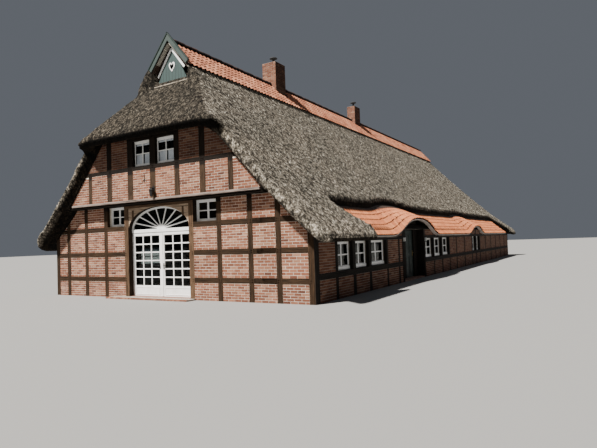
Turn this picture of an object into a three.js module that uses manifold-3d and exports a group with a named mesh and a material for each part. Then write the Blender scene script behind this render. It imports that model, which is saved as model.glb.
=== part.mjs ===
// Thatched hall house. Millimetres, +Z up.
// X runs along the gable front to the right, Y runs back along the ridge, the ground is z = 0.
// The outer face of the lower front wall is Y = 0 and the ridge stands over X = 0.

import * as THREE from 'three';
import { mergeVertices } from 'three/addons/utils/BufferGeometryUtils.js';
import Module from 'manifold-3d';

const wasm = await Module();
wasm.setup();

// Clearance between two pieces that touch in the real house
const GAP = 0.3;
// The same clearance measured upwards under a sloping roof face
const SLOPE_GAP = 0.45;

// Walls
const HALF = 5750;
const THICK = 240;
const REAR = 33250;
const FRONT_WALL_TOP = 3190;

// Timbers let into the brick
const PROUD = 8;
const TIMBER_DEPTH = 120;
const POST = 190;
const RAIL = 170;
const RAIL_HEIGHTS = [2406, 1508, 633];
const CORNER_POST = 200;

// Upper gable, set forward on the jetty
const JETTY = 331;
const GABLE_BAY = 1069.5;
const GABLE_FOOT = 3345;
const COLLAR_BOTTOM = 4315;
const COLLAR_TOP = 4455;
const UPPER_POSTS = [-2200, -1148, -70, 1030, 2090];
const GABLE_WINDOWS = ['left', 'right'].map((word, i) => ({
  name: `gable_window_${word}`,
  x0: UPPER_POSTS[i + 1] + POST / 2,
  x1: UPPER_POSTS[i + 2] - POST / 2,
}));
const GABLE_WINDOW_TOP = 5320;
const GABLE_HEAD_TOP = 5480;

// Gate
const GATE_LEFT = -1655;
const GATE_RIGHT = 1177;
const GATE_POST = 200;
const GATE_CENTRE = (GATE_LEFT + GATE_RIGHT) / 2;
const TRANSOM_BOTTOM = 2240;
const TRANSOM_TOP = 2350;
const ARCH_RISE = 745;
const LEAF_THICK = 60;
const LEAF_CLEAR = 5;
const LEAF_MEET = 9;
const LEAF_BOTTOM = 60;
const LEAF_PANEL_TOP = 403;
const LEAF_STILE = 95;

// Hinge barrels: the axis stands this far off the leaf's inner face and off the frame beside it
const HINGE_OFFSET = 8;
const HINGE_RADIUS = HINGE_OFFSET - GAP;
const HINGE_HEIGHTS = [330, 1900];
const HINGE_LENGTH = 110;
const GATE_PIVOT_INSET = 2.5;

// Floors
const FLOOR_TOP = 50;
const ATTIC_BOTTOM = FRONT_WALL_TOP + GAP;
const ATTIC_TOP = 3270;

// Roof profile across the house: half width against height, top and underside
const THATCH_TOP = [[0, 8790], [3000, 5380], [4600, 3620], [5500, 2750], [6349, 2017]];
const THATCH_UNDER = [[0, 8300], [3000, 4860], [4600, 3060], [5500, 2290], [6150, 1770]];
const VERGE = -620;

// Front half hip: the top plane passes the foot of the gablet
const HIP_SLOPE = 1.2045;
const GABLET_FACE = 643;
const GABLET_FOOT = 7460;
const HIP_TOP_EDGE = -1017;
const HIP_UNDER_EDGE = -786;
const HIP_UNDER_EDGE_Z = 5270;
const HIP_APEX = 1738;
const HIP_PLAN_RATIO = 0.948;

// Rear hip, bell-cast, as distance back against height
const REAR_TOP = [[26980, 8790], [28400, 7100], [29700, 5300], [32000, 3300], [33900, 2017]];
const REAR_UNDER = [[26980, 8270], [28400, 6570], [29700, 4780], [32000, 2830], [33700, 1770]];
const REAR_MITRE = [
  [0, 26980], [1487, 28400], [3000, 29642], [3073, 29700],
  [4600, 31632], [4931, 32000], [5500, 32814], [6349, 33900], [7000, 34733],
];
const REAR_GABLET_FACE = 28400;

// Ridge tiles
const STRIP_HALF = 930;
const STRIP_RISE = 110;
const CAP_HALF = 95;
const RIDGE_TOP = 8956;
const STRIP_FRONT = 474;
const STRIP_REAR = 28600;

// Tiled side roof with two eyebrows
const TILE_UPPER_X = 5050;
const TILE_UPPER_Z = 2870;
const TILE_EAVE_X = 5930;
const TILE_EAVE_Z = 1870;
const TILE_RISE = 150;
const TILE_UPPER_Y = [2030, 29600];
const TILE_EAVE_Y = [2858, 31663];
const TILE_STATIONS = 60;
const EYEBROWS = [
  { y: 9050, half: 3050, rise: 700 },
  { y: 20700, half: 2300, rise: 480 },
];
const EYEBROW_POWER = 1.4;
const UPPER_BOWS = [
  { y: 7900, half: 2700, rise: 210 },
  { y: 18800, half: 1900, rise: 100 },
];

// Side walls: posts and window bays as distances back from the front
const SILL_BOTTOM = 640;
const SILL_TOP = 825;
const SILL_DEPTH = 80;
const HEAD_BOTTOM = 1700;
const HEAD_TOP = 1840;
const NEAR_POSTS = [[1260, 1430], [2480, 2700], [3770, 3980], [5400, 5560], [6650, 6820]];
const PORCH_POSTS = [[7105, 7280], [9950, 10150]];
const FAR_POSTS = [
  [11400, 11550], [12800, 13000], [14240, 14400], [15700, 15890], [17600, 17790],
  [19560, 19750], [20700, 20900], [21850, 22040], [23700, 23890], [25600, 25790],
  [27500, 27690], [29400, 29590], [31300, 31490],
];
const NEAR_BAYS = [[1430, 2480], [2700, 3770], [3980, 5400]];
const FAR_BAYS = [[10150, 11400], [11550, 12800], [13000, 14240], [19750, 20700], [20900, 21850]];
const REAR_POSTS = [-4200, -3300, -1650, 0, 1650, 3300, 4200];
const REAR_BAYS = [[-4105, -3395], [3395, 4105]];

// Window joinery
const CASING = 62;
const CASING_DEPTH = 60;
const FRONT_REVEAL = 172;
const GABLE_REVEAL = 100;
const SIDE_REVEAL = 150;
const BOARD_TOP = 910;
const BOARD_PROUD = 14;
const PANE = 6;
const SHEET_LAP = 10;

// Porch: a shallow recess in the right wall
const RECESS = [7280, 9950];
const RECESS_TOP = 2100;
const LINTEL_TOP = 2230;
const PORCH_OUTER = 5410;
const PORCH_INNER = 5170;
const PORCH_CHEEK = 185;
const PORCH_DOOR = [8450, 9500];
const PORCH_DOOR_TOP = 2070;
const PORCH_LEAF_THICK = 45;
const PORCH_LEAF_OUTER = 5375;
const PORCH_LAMPS = [
  { name: 'porch_lamp_front', y: 7195, z: 1690 },
  { name: 'porch_lamp_rear', y: 10025, z: 1660 },
];

// Chimneys
const CHIMNEYS = [
  { name: 'chimney_front', x0: -355, x1: 345, y0: 6700, y1: 7500, top: 9990 },
  { name: 'chimney_rear', x0: -240, x1: 240, y0: 15380, y1: 16150, top: 9850 },
];

function paint(colour, roughness, metalness = 0) {
  return new THREE.MeshStandardMaterial({ color: colour, roughness, metalness });
}

const materials = {
  thatch: paint(0x7d7468, 0.95),
  brick: paint(0xb4705a, 0.9),
  timber: paint(0x4a3a2e, 0.85),
  beam: paint(0x9a9186, 0.85),
  gateWood: paint(0x7a5a3c, 0.75),
  white: paint(0xe8e6df, 0.5),
  tile: paint(0xc06a45, 0.8),
  ridge: paint(0xa9523a, 0.8),
  panel: paint(0x5f6f66, 0.6),
  barge: paint(0x6a756c, 0.6),
  green: paint(0x1f3a2c, 0.5),
  glass: paint(0x20282c, 0.08),
  paving: paint(0x8d857a, 0.9),
  boards: paint(0x8a6a48, 0.8),
  stone: paint(0xb8aea0, 0.85),
  iron: paint(0x1c1c1c, 0.5, 0.6),
  zinc: paint(0x6f7275, 0.5, 0.7),
};

const house = new THREE.Group();
house.name = 'thatched_cottage';

// Solids

function solidOf(geometry) {
  const plain = new THREE.BufferGeometry();
  plain.setAttribute('position', geometry.getAttribute('position'));
  if (geometry.index) {
    plain.setIndex(geometry.index);
  }
  const merged = mergeVertices(plain, 1e-4);
  return new wasm.Manifold(new wasm.Mesh({
    numProp: 3,
    vertProperties: new Float32Array(merged.getAttribute('position').array),
    triVerts: new Uint32Array(merged.index.array),
  }));
}

function geometryOf(solid) {
  const mesh = solid.getMesh();
  const geometry = new THREE.BufferGeometry();
  const positions = new Float32Array(mesh.numVert * 3);
  for (let i = 0; i < mesh.numVert; i += 1) {
    for (let k = 0; k < 3; k += 1) {
      positions[3 * i + k] = mesh.vertProperties[mesh.numProp * i + k];
    }
  }
  geometry.setAttribute('position', new THREE.BufferAttribute(positions, 3));
  geometry.setIndex(new THREE.BufferAttribute(new Uint32Array(mesh.triVerts), 1));
  geometry.computeVertexNormals();
  return geometry;
}

function box(x0, x1, y0, y1, z0, z1) {
  const geometry = new THREE.BoxGeometry(x1 - x0, y1 - y0, z1 - z0);
  geometry.translate((x0 + x1) / 2, (y0 + y1) / 2, (z0 + z1) / 2);
  return solidOf(geometry);
}

function extrusion(outline, depth, axes, shift) {
  const ready = outline instanceof THREE.Shape;
  const shape = ready ? outline : new THREE.Shape(outline.map(([a, b]) => new THREE.Vector2(a, b)));
  const geometry = new THREE.ExtrudeGeometry(shape, { depth, bevelEnabled: false, curveSegments: 10 });
  geometry.applyMatrix4(new THREE.Matrix4().makeBasis(...axes));
  geometry.translate(shift.x, shift.y, shift.z);
  return solidOf(geometry);
}

const UNIT_X = new THREE.Vector3(1, 0, 0);
const UNIT_Y = new THREE.Vector3(0, 1, 0);
const UNIT_Z = new THREE.Vector3(0, 0, 1);

// Outline in X and Z, carried along Y
function prismY(outline, y0, y1) {
  return extrusion(outline, y1 - y0, [UNIT_X, UNIT_Z, UNIT_Y.clone().negate()], new THREE.Vector3(0, y1, 0));
}

// Outline in Y and Z, carried along X
function prismX(outline, x0, x1) {
  return extrusion(outline, x1 - x0, [UNIT_Y, UNIT_Z, UNIT_X], new THREE.Vector3(x0, 0, 0));
}

// Outline in X and Y, carried up
function prismZ(outline, z0, z1) {
  return extrusion(outline, z1 - z0, [UNIT_X, UNIT_Y, UNIT_Z], new THREE.Vector3(0, 0, z0));
}

function join(solids) {
  return solids.reduce((all, one) => all.add(one));
}

function cut(solid, tools) {
  return tools.reduce((rest, tool) => rest.subtract(tool), solid);
}

function place(parent, name, solid, material, origin = new THREE.Vector3()) {
  const geometry = geometryOf(solid);
  geometry.translate(-origin.x, -origin.y, -origin.z);
  const mesh = new THREE.Mesh(geometry, material);
  mesh.name = name;
  mesh.position.copy(origin);
  parent.add(mesh);
}

function valueAt(profile, x) {
  for (let i = 1; i < profile.length; i += 1) {
    const [xa, za] = profile[i - 1];
    const [xb, zb] = profile[i];
    if (x <= xb || i === profile.length - 1) {
      return za + ((zb - za) * (x - xa)) / (xb - xa);
    }
  }
  return profile[0][1];
}

// Roof envelopes

const BELOW = -200;
const FAR_X = 6500;
const FAR_Y = 34500;

function hipTopAt(y) {
  return GABLET_FOOT + (y - GABLET_FACE) * HIP_SLOPE;
}

function hipUnderAt(y) {
  return HIP_UNDER_EDGE_Z + (y - HIP_UNDER_EDGE) * HIP_SLOPE;
}

function underSides(profile, drop) {
  const right = profile.map(([x, z]) => [x, z - drop]);
  right.push([FAR_X, valueAt(profile, FAR_X) - drop]);
  const left = right.slice(1).map(([x, z]) => [-x, z]);
  const outline = [[FAR_X, BELOW], ...right.slice().reverse(), ...left, [-FAR_X, BELOW]];
  return prismY(outline, -2000, FAR_Y + 500);
}

function underHips(frontAt, rear, drop) {
  const high = 9500;
  const frontTop = 2400;
  const rearHigh = rear[0][0] - (high - rear[0][1]) * 0.84;
  const outline = [
    [-1900, BELOW],
    [FAR_Y, BELOW],
    [FAR_Y, valueAt(rear, FAR_Y) - drop],
    ...rear.slice().reverse().map(([y, z]) => [y, z - drop]),
    [rearHigh, high - drop],
    [frontTop, frontAt(frontTop) - drop],
    [-1900, frontAt(-1900) - drop],
  ];
  return prismX(outline, -FAR_X - 100, FAR_X + 100);
}

const underThatch = underSides(THATCH_UNDER, SLOPE_GAP).intersect(underHips(hipUnderAt, REAR_UNDER, SLOPE_GAP));
const underThatchTop = underSides(THATCH_TOP, 0);
const underHipTop = underHips(hipTopAt, REAR_TOP, 0);

// Tiled side roof as a lofted slab

function swell(y, { y: centre, half, rise }) {
  const reach = Math.min(1, Math.abs(y - centre) / half);
  return rise * Math.cos((Math.PI / 2) * reach ** EYEBROW_POWER) ** 2;
}

function total(y, list) {
  return list.reduce((sum, one) => sum + swell(y, one), 0);
}

function tileStation(i, clear) {
  const t = i / TILE_STATIONS;
  const yUpper = TILE_UPPER_Y[0] + t * (TILE_UPPER_Y[1] - TILE_UPPER_Y[0]);
  const yEave = TILE_EAVE_Y[0] + t * (TILE_EAVE_Y[1] - TILE_EAVE_Y[0]);
  const xUpper = TILE_UPPER_X - total(yUpper, UPPER_BOWS) + clear;
  const slope = (TILE_UPPER_Z - TILE_EAVE_Z) / (TILE_EAVE_X - TILE_UPPER_X);
  return {
    yUpper,
    yEave,
    xUpper,
    zUpper: TILE_UPPER_Z + (TILE_UPPER_X - xUpper) * slope,
    zEave: TILE_EAVE_Z + total(yEave, EYEBROWS),
  };
}

// A closed skin through equal rings of points, with flat ends
function loft(rings) {
  const sides = rings[0].length;
  const positions = rings.flat(2);
  const faces = [];
  for (let r = 0; r + 1 < rings.length; r += 1) {
    for (let s = 0; s < sides; s += 1) {
      const a = r * sides + s;
      const b = r * sides + ((s + 1) % sides);
      faces.push(a, a + sides, b, b, a + sides, b + sides);
    }
  }
  const last = (rings.length - 1) * sides;
  for (let s = 1; s + 1 < sides; s += 1) {
    faces.push(0, s, s + 1, last, last + s + 1, last + s);
  }
  const geometry = new THREE.BufferGeometry();
  geometry.setAttribute('position', new THREE.BufferAttribute(new Float32Array(positions), 3));
  geometry.setIndex(faces);
  return solidOf(geometry);
}

function tileRoof() {
  const rings = [];
  for (let i = 0; i <= TILE_STATIONS; i += 1) {
    const s = tileStation(i, GAP);
    const end = i === 0 ? 1 : i === TILE_STATIONS ? -1 : 0;
    const yu = s.yUpper + end;
    const ye = s.yEave + end;
    rings.push([
      [s.xUpper, yu, s.zUpper],
      [s.xUpper, yu, s.zUpper - TILE_RISE],
      [TILE_EAVE_X, ye, s.zEave - TILE_RISE],
      [TILE_EAVE_X, ye, s.zEave],
    ]);
  }
  return loft(rings);
}

// Everything above the underside of the tiled roof, to trim the wall beneath it
function aboveTiles() {
  const rings = [];
  const reach = (TILE_EAVE_X + 500 - TILE_UPPER_X) / (TILE_EAVE_X - TILE_UPPER_X);
  for (let i = 0; i <= TILE_STATIONS; i += 1) {
    const s = tileStation(i, 0);
    const yOut = s.yUpper + (s.yEave - s.yUpper) * reach;
    const zOut = s.zUpper + (s.zEave - s.zUpper) * reach - TILE_RISE - SLOPE_GAP;
    rings.push([
      [s.xUpper, s.yUpper, 4200],
      [s.xUpper, s.yUpper, s.zUpper - TILE_RISE - SLOPE_GAP],
      [TILE_EAVE_X, s.yEave, s.zEave - TILE_RISE - SLOPE_GAP],
      [TILE_EAVE_X + 500, yOut, zOut],
      [TILE_EAVE_X + 500, yOut, 4200],
    ]);
  }
  return loft(rings);
}

// The bay cut out of the thatch for the tiles, as a plan outline carried up
function tileBay() {
  const outline = [];
  const reach = 2;
  for (let i = 0; i <= TILE_STATIONS; i += 1) {
    const s = tileStation(i, 0);
    outline.push([s.xUpper, s.yUpper]);
  }
  const first = tileStation(0, 0);
  const last = tileStation(TILE_STATIONS, 0);
  const outX = TILE_UPPER_X + (TILE_EAVE_X - TILE_UPPER_X) * reach;
  outline.push([outX, last.yUpper + (last.yEave - last.yUpper) * reach]);
  outline.push([outX, first.yUpper + (first.yEave - first.yUpper) * reach]);
  return prismZ(outline.reverse(), 1000, 4500);
}

const tileLimit = aboveTiles();

function underRoof(solid) {
  return solid.intersect(underThatch).subtract(tileLimit);
}

// Thatch

function band(top, under) {
  return [...top, ...under.slice().reverse()];
}

function sideThatch(side) {
  const outline = band(THATCH_TOP, THATCH_UNDER).map(([x, z]) => [side * Math.max(x, GAP / 2), z]);
  const slope = prismY(side > 0 ? outline.reverse() : outline, VERGE, FAR_Y);
  const frontX = (HIP_APEX - (VERGE - 100)) / HIP_PLAN_RATIO;
  const plan = [
    [0, HIP_APEX],
    [side * frontX, VERGE - 100],
    [side * 7200, VERGE - 100],
    ...REAR_MITRE.slice().reverse().map(([x, y]) => [side * x, y]),
  ];
  const region = prismZ(side > 0 ? plan : plan.reverse(), 1000, 9500);
  return slope.intersect(region).intersect(underHipTop);
}

function frontHipThatch() {
  const top = HIP_APEX + 200;
  const outline = [
    [HIP_UNDER_EDGE, HIP_UNDER_EDGE_Z],
    [top, hipUnderAt(top)],
    [top, hipTopAt(top)],
    [HIP_TOP_EDGE, hipTopAt(HIP_TOP_EDGE)],
  ];
  const apex = HIP_APEX - 0.5;
  const front = -1400;
  const half = (apex - front) / HIP_PLAN_RATIO;
  const region = prismZ([[0, apex], [-half, front], [half, front]], 4000, 9500);
  return prismX(outline, -4000, 4000).intersect(region).intersect(underThatchTop);
}

function rearHipThatch() {
  const outline = band(REAR_TOP, REAR_UNDER).reverse();
  const right = REAR_MITRE.map(([x, y]) => [x, y + 0.5]);
  const left = right.slice(1).reverse().map(([x, y]) => [-x, y]);
  const region = prismZ([...left, ...right].reverse(), 1000, 9500);
  return prismX(outline, -7000, 7000).intersect(region).intersect(underThatchTop);
}

function chimneyHole({ x0, x1, y0, y1, top }) {
  return box(x0 - GAP, x1 + GAP, y0 - GAP, y1 + GAP, 4000, top + 500);
}

function thatch() {
  const holes = CHIMNEYS.map(chimneyHole);
  place(house, 'thatch_left', cut(sideThatch(-1), holes), materials.thatch);
  place(house, 'thatch_right', cut(sideThatch(1), [...holes, tileBay()]), materials.thatch);
  place(house, 'thatch_front_hip', frontHipThatch(), materials.thatch);
  place(house, 'thatch_rear_hip', rearHipThatch(), materials.thatch);
}

function ridgeTiles() {
  const slopeTop = (x) => valueAt(THATCH_TOP, x);
  const right = [
    [0, RIDGE_TOP],
    [CAP_HALF, slopeTop(CAP_HALF) + STRIP_RISE + 40],
    [CAP_HALF, slopeTop(CAP_HALF) + STRIP_RISE],
    [STRIP_HALF, slopeTop(STRIP_HALF) + STRIP_RISE],
    [STRIP_HALF, slopeTop(STRIP_HALF) + SLOPE_GAP],
  ];
  const left = right.slice(1).map(([x, z]) => [-x, z]);
  const outline = [...right, [0, slopeTop(0) + SLOPE_GAP], ...left.reverse()];
  const strip = prismY(outline.reverse(), STRIP_FRONT + GAP, STRIP_REAR);
  place(house, 'ridge_tiles', cut(strip, CHIMNEYS.map(chimneyHole)), materials.ridge);
}

// Gablets

function heart(x, z, width, height) {
  const shape = new THREE.Shape();
  shape.moveTo(x, z - height / 2);
  shape.bezierCurveTo(x + width * 0.3, z - height * 0.2, x + width / 2, z, x + width / 2, z + height * 0.2);
  shape.bezierCurveTo(x + width / 2, z + height * 0.55, x + width * 0.08, z + height * 0.6, x, z + height * 0.22);
  shape.bezierCurveTo(x - width * 0.08, z + height * 0.6, x - width / 2, z + height * 0.55, x - width / 2, z + height * 0.2);
  shape.bezierCurveTo(x - width / 2, z, x - width * 0.3, z - height * 0.2, x, z - height / 2);
  return shape;
}

function gabletTriangle(y0, y1) {
  const half = 1700;
  const outline = [
    [-half, valueAt(THATCH_TOP, half)],
    [half, valueAt(THATCH_TOP, half)],
    [0, THATCH_TOP[0][1]],
  ];
  return prismY(outline, y0, y1);
}

function gablets() {
  const board = 30;
  const hole = prismY(heart(0, 7960, 190, 230), GABLET_FACE - 50, GABLET_FACE + board + 50);
  const front = gabletTriangle(GABLET_FACE, GABLET_FACE + board)
    .subtract(underHips((y) => hipTopAt(y) + SLOPE_GAP, REAR_TOP, 0))
    .subtract(hole);
  place(house, 'gablet_panel', front, materials.panel);
  const lifted = REAR_TOP.map(([y, z]) => [y, z + SLOPE_GAP]);
  const rear = gabletTriangle(REAR_GABLET_FACE - board, REAR_GABLET_FACE)
    .subtract(underHips(hipTopAt, lifted, 0));
  place(house, 'rear_gablet', rear, materials.panel);
}

function bargeboards() {
  const outline = [
    [0, 9125], [-955, 7995], [-815, 7875], [0, 8835], [815, 7875], [955, 7995],
  ];
  place(house, 'bargeboards', prismY(outline, STRIP_FRONT - 40, STRIP_FRONT), materials.barge);
}

// Chimneys

function chimneys() {
  for (const { name, x0, x1, y0, y1, top } of CHIMNEYS) {
    const collar = 45;
    const stack = join([
      box(x0, x1, y0, y1, ATTIC_TOP + GAP, top),
      box(x0 - collar, x1 + collar, y0 - collar, y1 + collar, top - 170, top - 60),
    ]);
    const flue = box(x0 + 150, x1 - 150, y0 + 180, y1 - 180, top - 220, top + 10);
    place(house, name, stack.subtract(flue), materials.brick);
    const cx = (x0 + x1) / 2;
    const cy = (y0 + y1) / 2;
    const legs = new THREE.CylinderGeometry((x1 - x0) / 2 - 60, (x1 - x0) / 2 - 60, 40, 16);
    const stem = new THREE.CylinderGeometry(70, 70, 150, 12);
    const lid = new THREE.CylinderGeometry(60, 130, 50, 16);
    const parts = [[legs, 20], [stem, 115], [lid, 215]].map(([geometry, z]) => {
      geometry.rotateX(Math.PI / 2);
      geometry.translate(cx, cy, top + GAP + z);
      return solidOf(geometry);
    });
    place(house, `${name}_cap`, join(parts), materials.zinc);
  }
}

// Windows

function casingY(x0, x1, y0, z0, z1) {
  const outer = box(x0 + GAP, x1 - GAP, y0, y0 + CASING_DEPTH, z0 + GAP, z1 - GAP);
  const light = box(x0 + CASING, x1 - CASING, y0 - 10, y0 + CASING_DEPTH + 10, z0 + CASING, z1 - CASING);
  return outer.subtract(light);
}

function paneY(x0, x1, y0, z0, z1) {
  const y = y0 + CASING_DEPTH / 2;
  const in0 = CASING + GAP;
  return box(x0 + in0, x1 - in0, y - PANE / 2, y + PANE / 2, z0 + in0, z1 - in0);
}

// Front walls

function frontPosts(side) {
  if (side < 0) {
    return [-4990, -3938, -2838];
  }
  return [2426, 3610, 4600];
}

function frontFrame(side) {
  const inner = side < 0 ? GATE_LEFT - GATE_POST - GAP : GATE_RIGHT + GATE_POST + GAP;
  const outer = side * (HALF + PROUD);
  const x0 = Math.min(inner, outer);
  const x1 = Math.max(inner, outer);
  const rails = RAIL_HEIGHTS.map((z) => box(x0, x1, -PROUD, TIMBER_DEPTH, z - RAIL / 2, z + RAIL / 2));
  const posts = frontPosts(side).map((x) => (
    box(x - POST / 2, x + POST / 2, -PROUD, TIMBER_DEPTH, 0, FRONT_WALL_TOP)
  ));
  const cornerIn = outer - side * CORNER_POST;
  const corner = box(
    Math.min(outer, cornerIn), Math.max(outer, cornerIn), -PROUD, CORNER_POST, 0, FRONT_WALL_TOP,
  );
  return underRoof(join([...rails, ...posts, corner]));
}

function frontWindow(side) {
  const post = frontPosts(side)[side < 0 ? 2 : 0];
  const gate = side < 0 ? GATE_LEFT - GATE_POST : GATE_RIGHT + GATE_POST;
  const edge = post - (side * POST) / 2;
  return {
    x0: Math.min(gate, edge),
    x1: Math.max(gate, edge),
    z0: RAIL_HEIGHTS[0] + RAIL / 2,
    z1: FRONT_WALL_TOP,
  };
}

function frontWall(side) {
  const inner = side < 0 ? GATE_LEFT - GATE_POST - GAP : GATE_RIGHT + GATE_POST + GAP;
  const outer = side * HALF;
  const x0 = Math.min(inner, outer);
  const x1 = Math.max(inner, outer);
  const slab = underRoof(box(x0, x1, 0, THICK, 0, FRONT_WALL_TOP));
  const rails = RAIL_HEIGHTS.map((z) => (
    box(x0 - 20, x1 + 20, -20, TIMBER_DEPTH + GAP, z - RAIL / 2 - GAP, z + RAIL / 2 + GAP)
  ));
  const posts = frontPosts(side).map((x) => (
    box(x - POST / 2 - GAP, x + POST / 2 + GAP, -20, TIMBER_DEPTH + GAP, -20, FRONT_WALL_TOP + 20)
  ));
  const cornerIn = side * (HALF + PROUD - CORNER_POST - GAP);
  const corner = box(
    Math.min(outer + side * 30, cornerIn), Math.max(outer + side * 30, cornerIn),
    -20, CORNER_POST + GAP, -20, FRONT_WALL_TOP + 20,
  );
  const w = frontWindow(side);
  const opening = box(w.x0 - 20 * (side > 0), w.x1 + 20 * (side < 0), -20, THICK + 20, w.z0, w.z1 + 20);
  return cut(slab, [...rails, ...posts, corner, opening]);
}

function fronts() {
  for (const [side, word] of [[-1, 'left'], [1, 'right']]) {
    place(house, `front_wall_${word}`, frontWall(side), materials.brick);
    place(house, `front_frame_${word}`, frontFrame(side), materials.timber);
    const w = frontWindow(side);
    place(house, `front_window_${word}`, casingY(w.x0, w.x1, FRONT_REVEAL, w.z0, w.z1), materials.white);
    place(house, `front_glass_${word}`, paneY(w.x0, w.x1, FRONT_REVEAL, w.z0, w.z1), materials.glass);
  }
}

// Upper gable

function gableBoxes(grow) {
  const y0 = -JETTY - PROUD - 30 * (grow > 0);
  const y1 = -JETTY + TIMBER_DEPTH + grow;
  const half = POST / 2 + grow;
  const foot = GABLE_FOOT + GAP;
  const boxes = [];
  for (let k = -3; k <= 3; k += 1) {
    const x = k * GABLE_BAY;
    boxes.push(box(x - half, x + half, y0, y1, foot - 30 * (grow > 0), COLLAR_TOP + grow));
  }
  for (const x of UPPER_POSTS) {
    boxes.push(box(x - half, x + half, y0, y1, COLLAR_BOTTOM - grow, 6600));
  }
  const headLeft = GABLE_WINDOWS[0].x0 - POST / 2;
  const headRight = GABLE_WINDOWS[1].x1 + POST / 2;
  boxes.push(box(-4600, 4600, y0, y1, COLLAR_BOTTOM - grow, COLLAR_TOP + grow));
  boxes.push(box(headLeft, headRight, y0, y1, GABLE_WINDOW_TOP - grow, GABLE_HEAD_TOP + grow));
  return boxes;
}

function upperGable() {
  const slab = underRoof(box(-4600, 4600, -JETTY, THICK - JETTY, GABLE_FOOT + GAP, 6600));
  const openings = GABLE_WINDOWS.map(({ x0, x1 }) => (
    box(x0, x1, -JETTY - 30, THICK - JETTY + 20, COLLAR_TOP, GABLE_WINDOW_TOP)
  ));
  place(house, 'front_gable_wall', cut(slab, [...gableBoxes(GAP), ...openings]), materials.brick);
  place(house, 'gable_frame', underRoof(join(gableBoxes(0))), materials.timber);
  for (const { name, x0, x1 } of GABLE_WINDOWS) {
    place(
      house, name, casingY(x0, x1, GABLE_REVEAL - JETTY, COLLAR_TOP, GABLE_WINDOW_TOP), materials.white,
    );
  }
  const back = THICK - JETTY + GAP;
  const sheet = box(
    GABLE_WINDOWS[0].x0 - 40, GABLE_WINDOWS[1].x1 + 40, back, back + PANE, COLLAR_TOP - 40, GABLE_WINDOW_TOP + 40,
  );
  place(house, 'gable_glass', sheet, materials.glass);
}

function sillBeam() {
  const foot = ATTIC_TOP + GAP;
  const outline = [
    [-JETTY - 40, 3245], [-JETTY - 15, 3205], [-JETTY - GAP, 3205], [-JETTY - GAP, foot],
    [THICK - JETTY, foot], [THICK - JETTY, GABLE_FOOT], [-JETTY - 15, GABLE_FOOT], [-JETTY - 40, 3325],
  ];
  place(house, 'gable_sill_beam', underRoof(prismX(outline, -4250, 4250)), materials.beam);
}

// Hinges

function barrel(x, y, z) {
  const geometry = new THREE.CylinderGeometry(HINGE_RADIUS, HINGE_RADIUS, HINGE_LENGTH, 16);
  geometry.rotateX(Math.PI / 2);
  geometry.translate(x, y, z);
  return solidOf(geometry);
}

// Gate

function archOutline(grow) {
  const shape = new THREE.Shape();
  shape.moveTo(GATE_LEFT - grow, -50);
  shape.lineTo(GATE_RIGHT + grow, -50);
  shape.lineTo(GATE_RIGHT + grow, TRANSOM_TOP);
  const a = (GATE_RIGHT - GATE_LEFT) / 2 + grow;
  shape.absellipse(GATE_CENTRE, TRANSOM_TOP, a, ARCH_RISE + grow, 0, Math.PI, false, 0);
  shape.lineTo(GATE_LEFT - grow, -50);
  return shape;
}

function gateFrame() {
  const block = box(
    GATE_LEFT - GATE_POST, GATE_RIGHT + GATE_POST, -PROUD, THICK, 0, FRONT_WALL_TOP,
  );
  place(house, 'gate_frame', block.subtract(prismY(archOutline(0), -50, THICK + 50)), materials.gateWood);
}

function fanlight() {
  const y0 = THICK - LEAF_THICK - 20;
  const above = box(-3000, 3000, -100, 500, TRANSOM_BOTTOM, 4000);
  const rim = prismY(archOutline(-GAP), y0, THICK).intersect(above);
  const glassAbove = box(-3000, 3000, -100, 500, TRANSOM_TOP, 4000);
  const hole = prismY(archOutline(-60), y0 - 10, THICK + 10).intersect(glassAbove);
  place(house, 'fanlight', rim.subtract(hole), materials.white);
  const y = (y0 + THICK) / 2;
  const pane = prismY(archOutline(-60 - GAP), y - PANE / 2, y + PANE / 2)
    .intersect(box(-3000, 3000, -100, 500, TRANSOM_TOP + GAP, 4000));
  place(house, 'fanlight_glass', pane, materials.glass);
}

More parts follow.
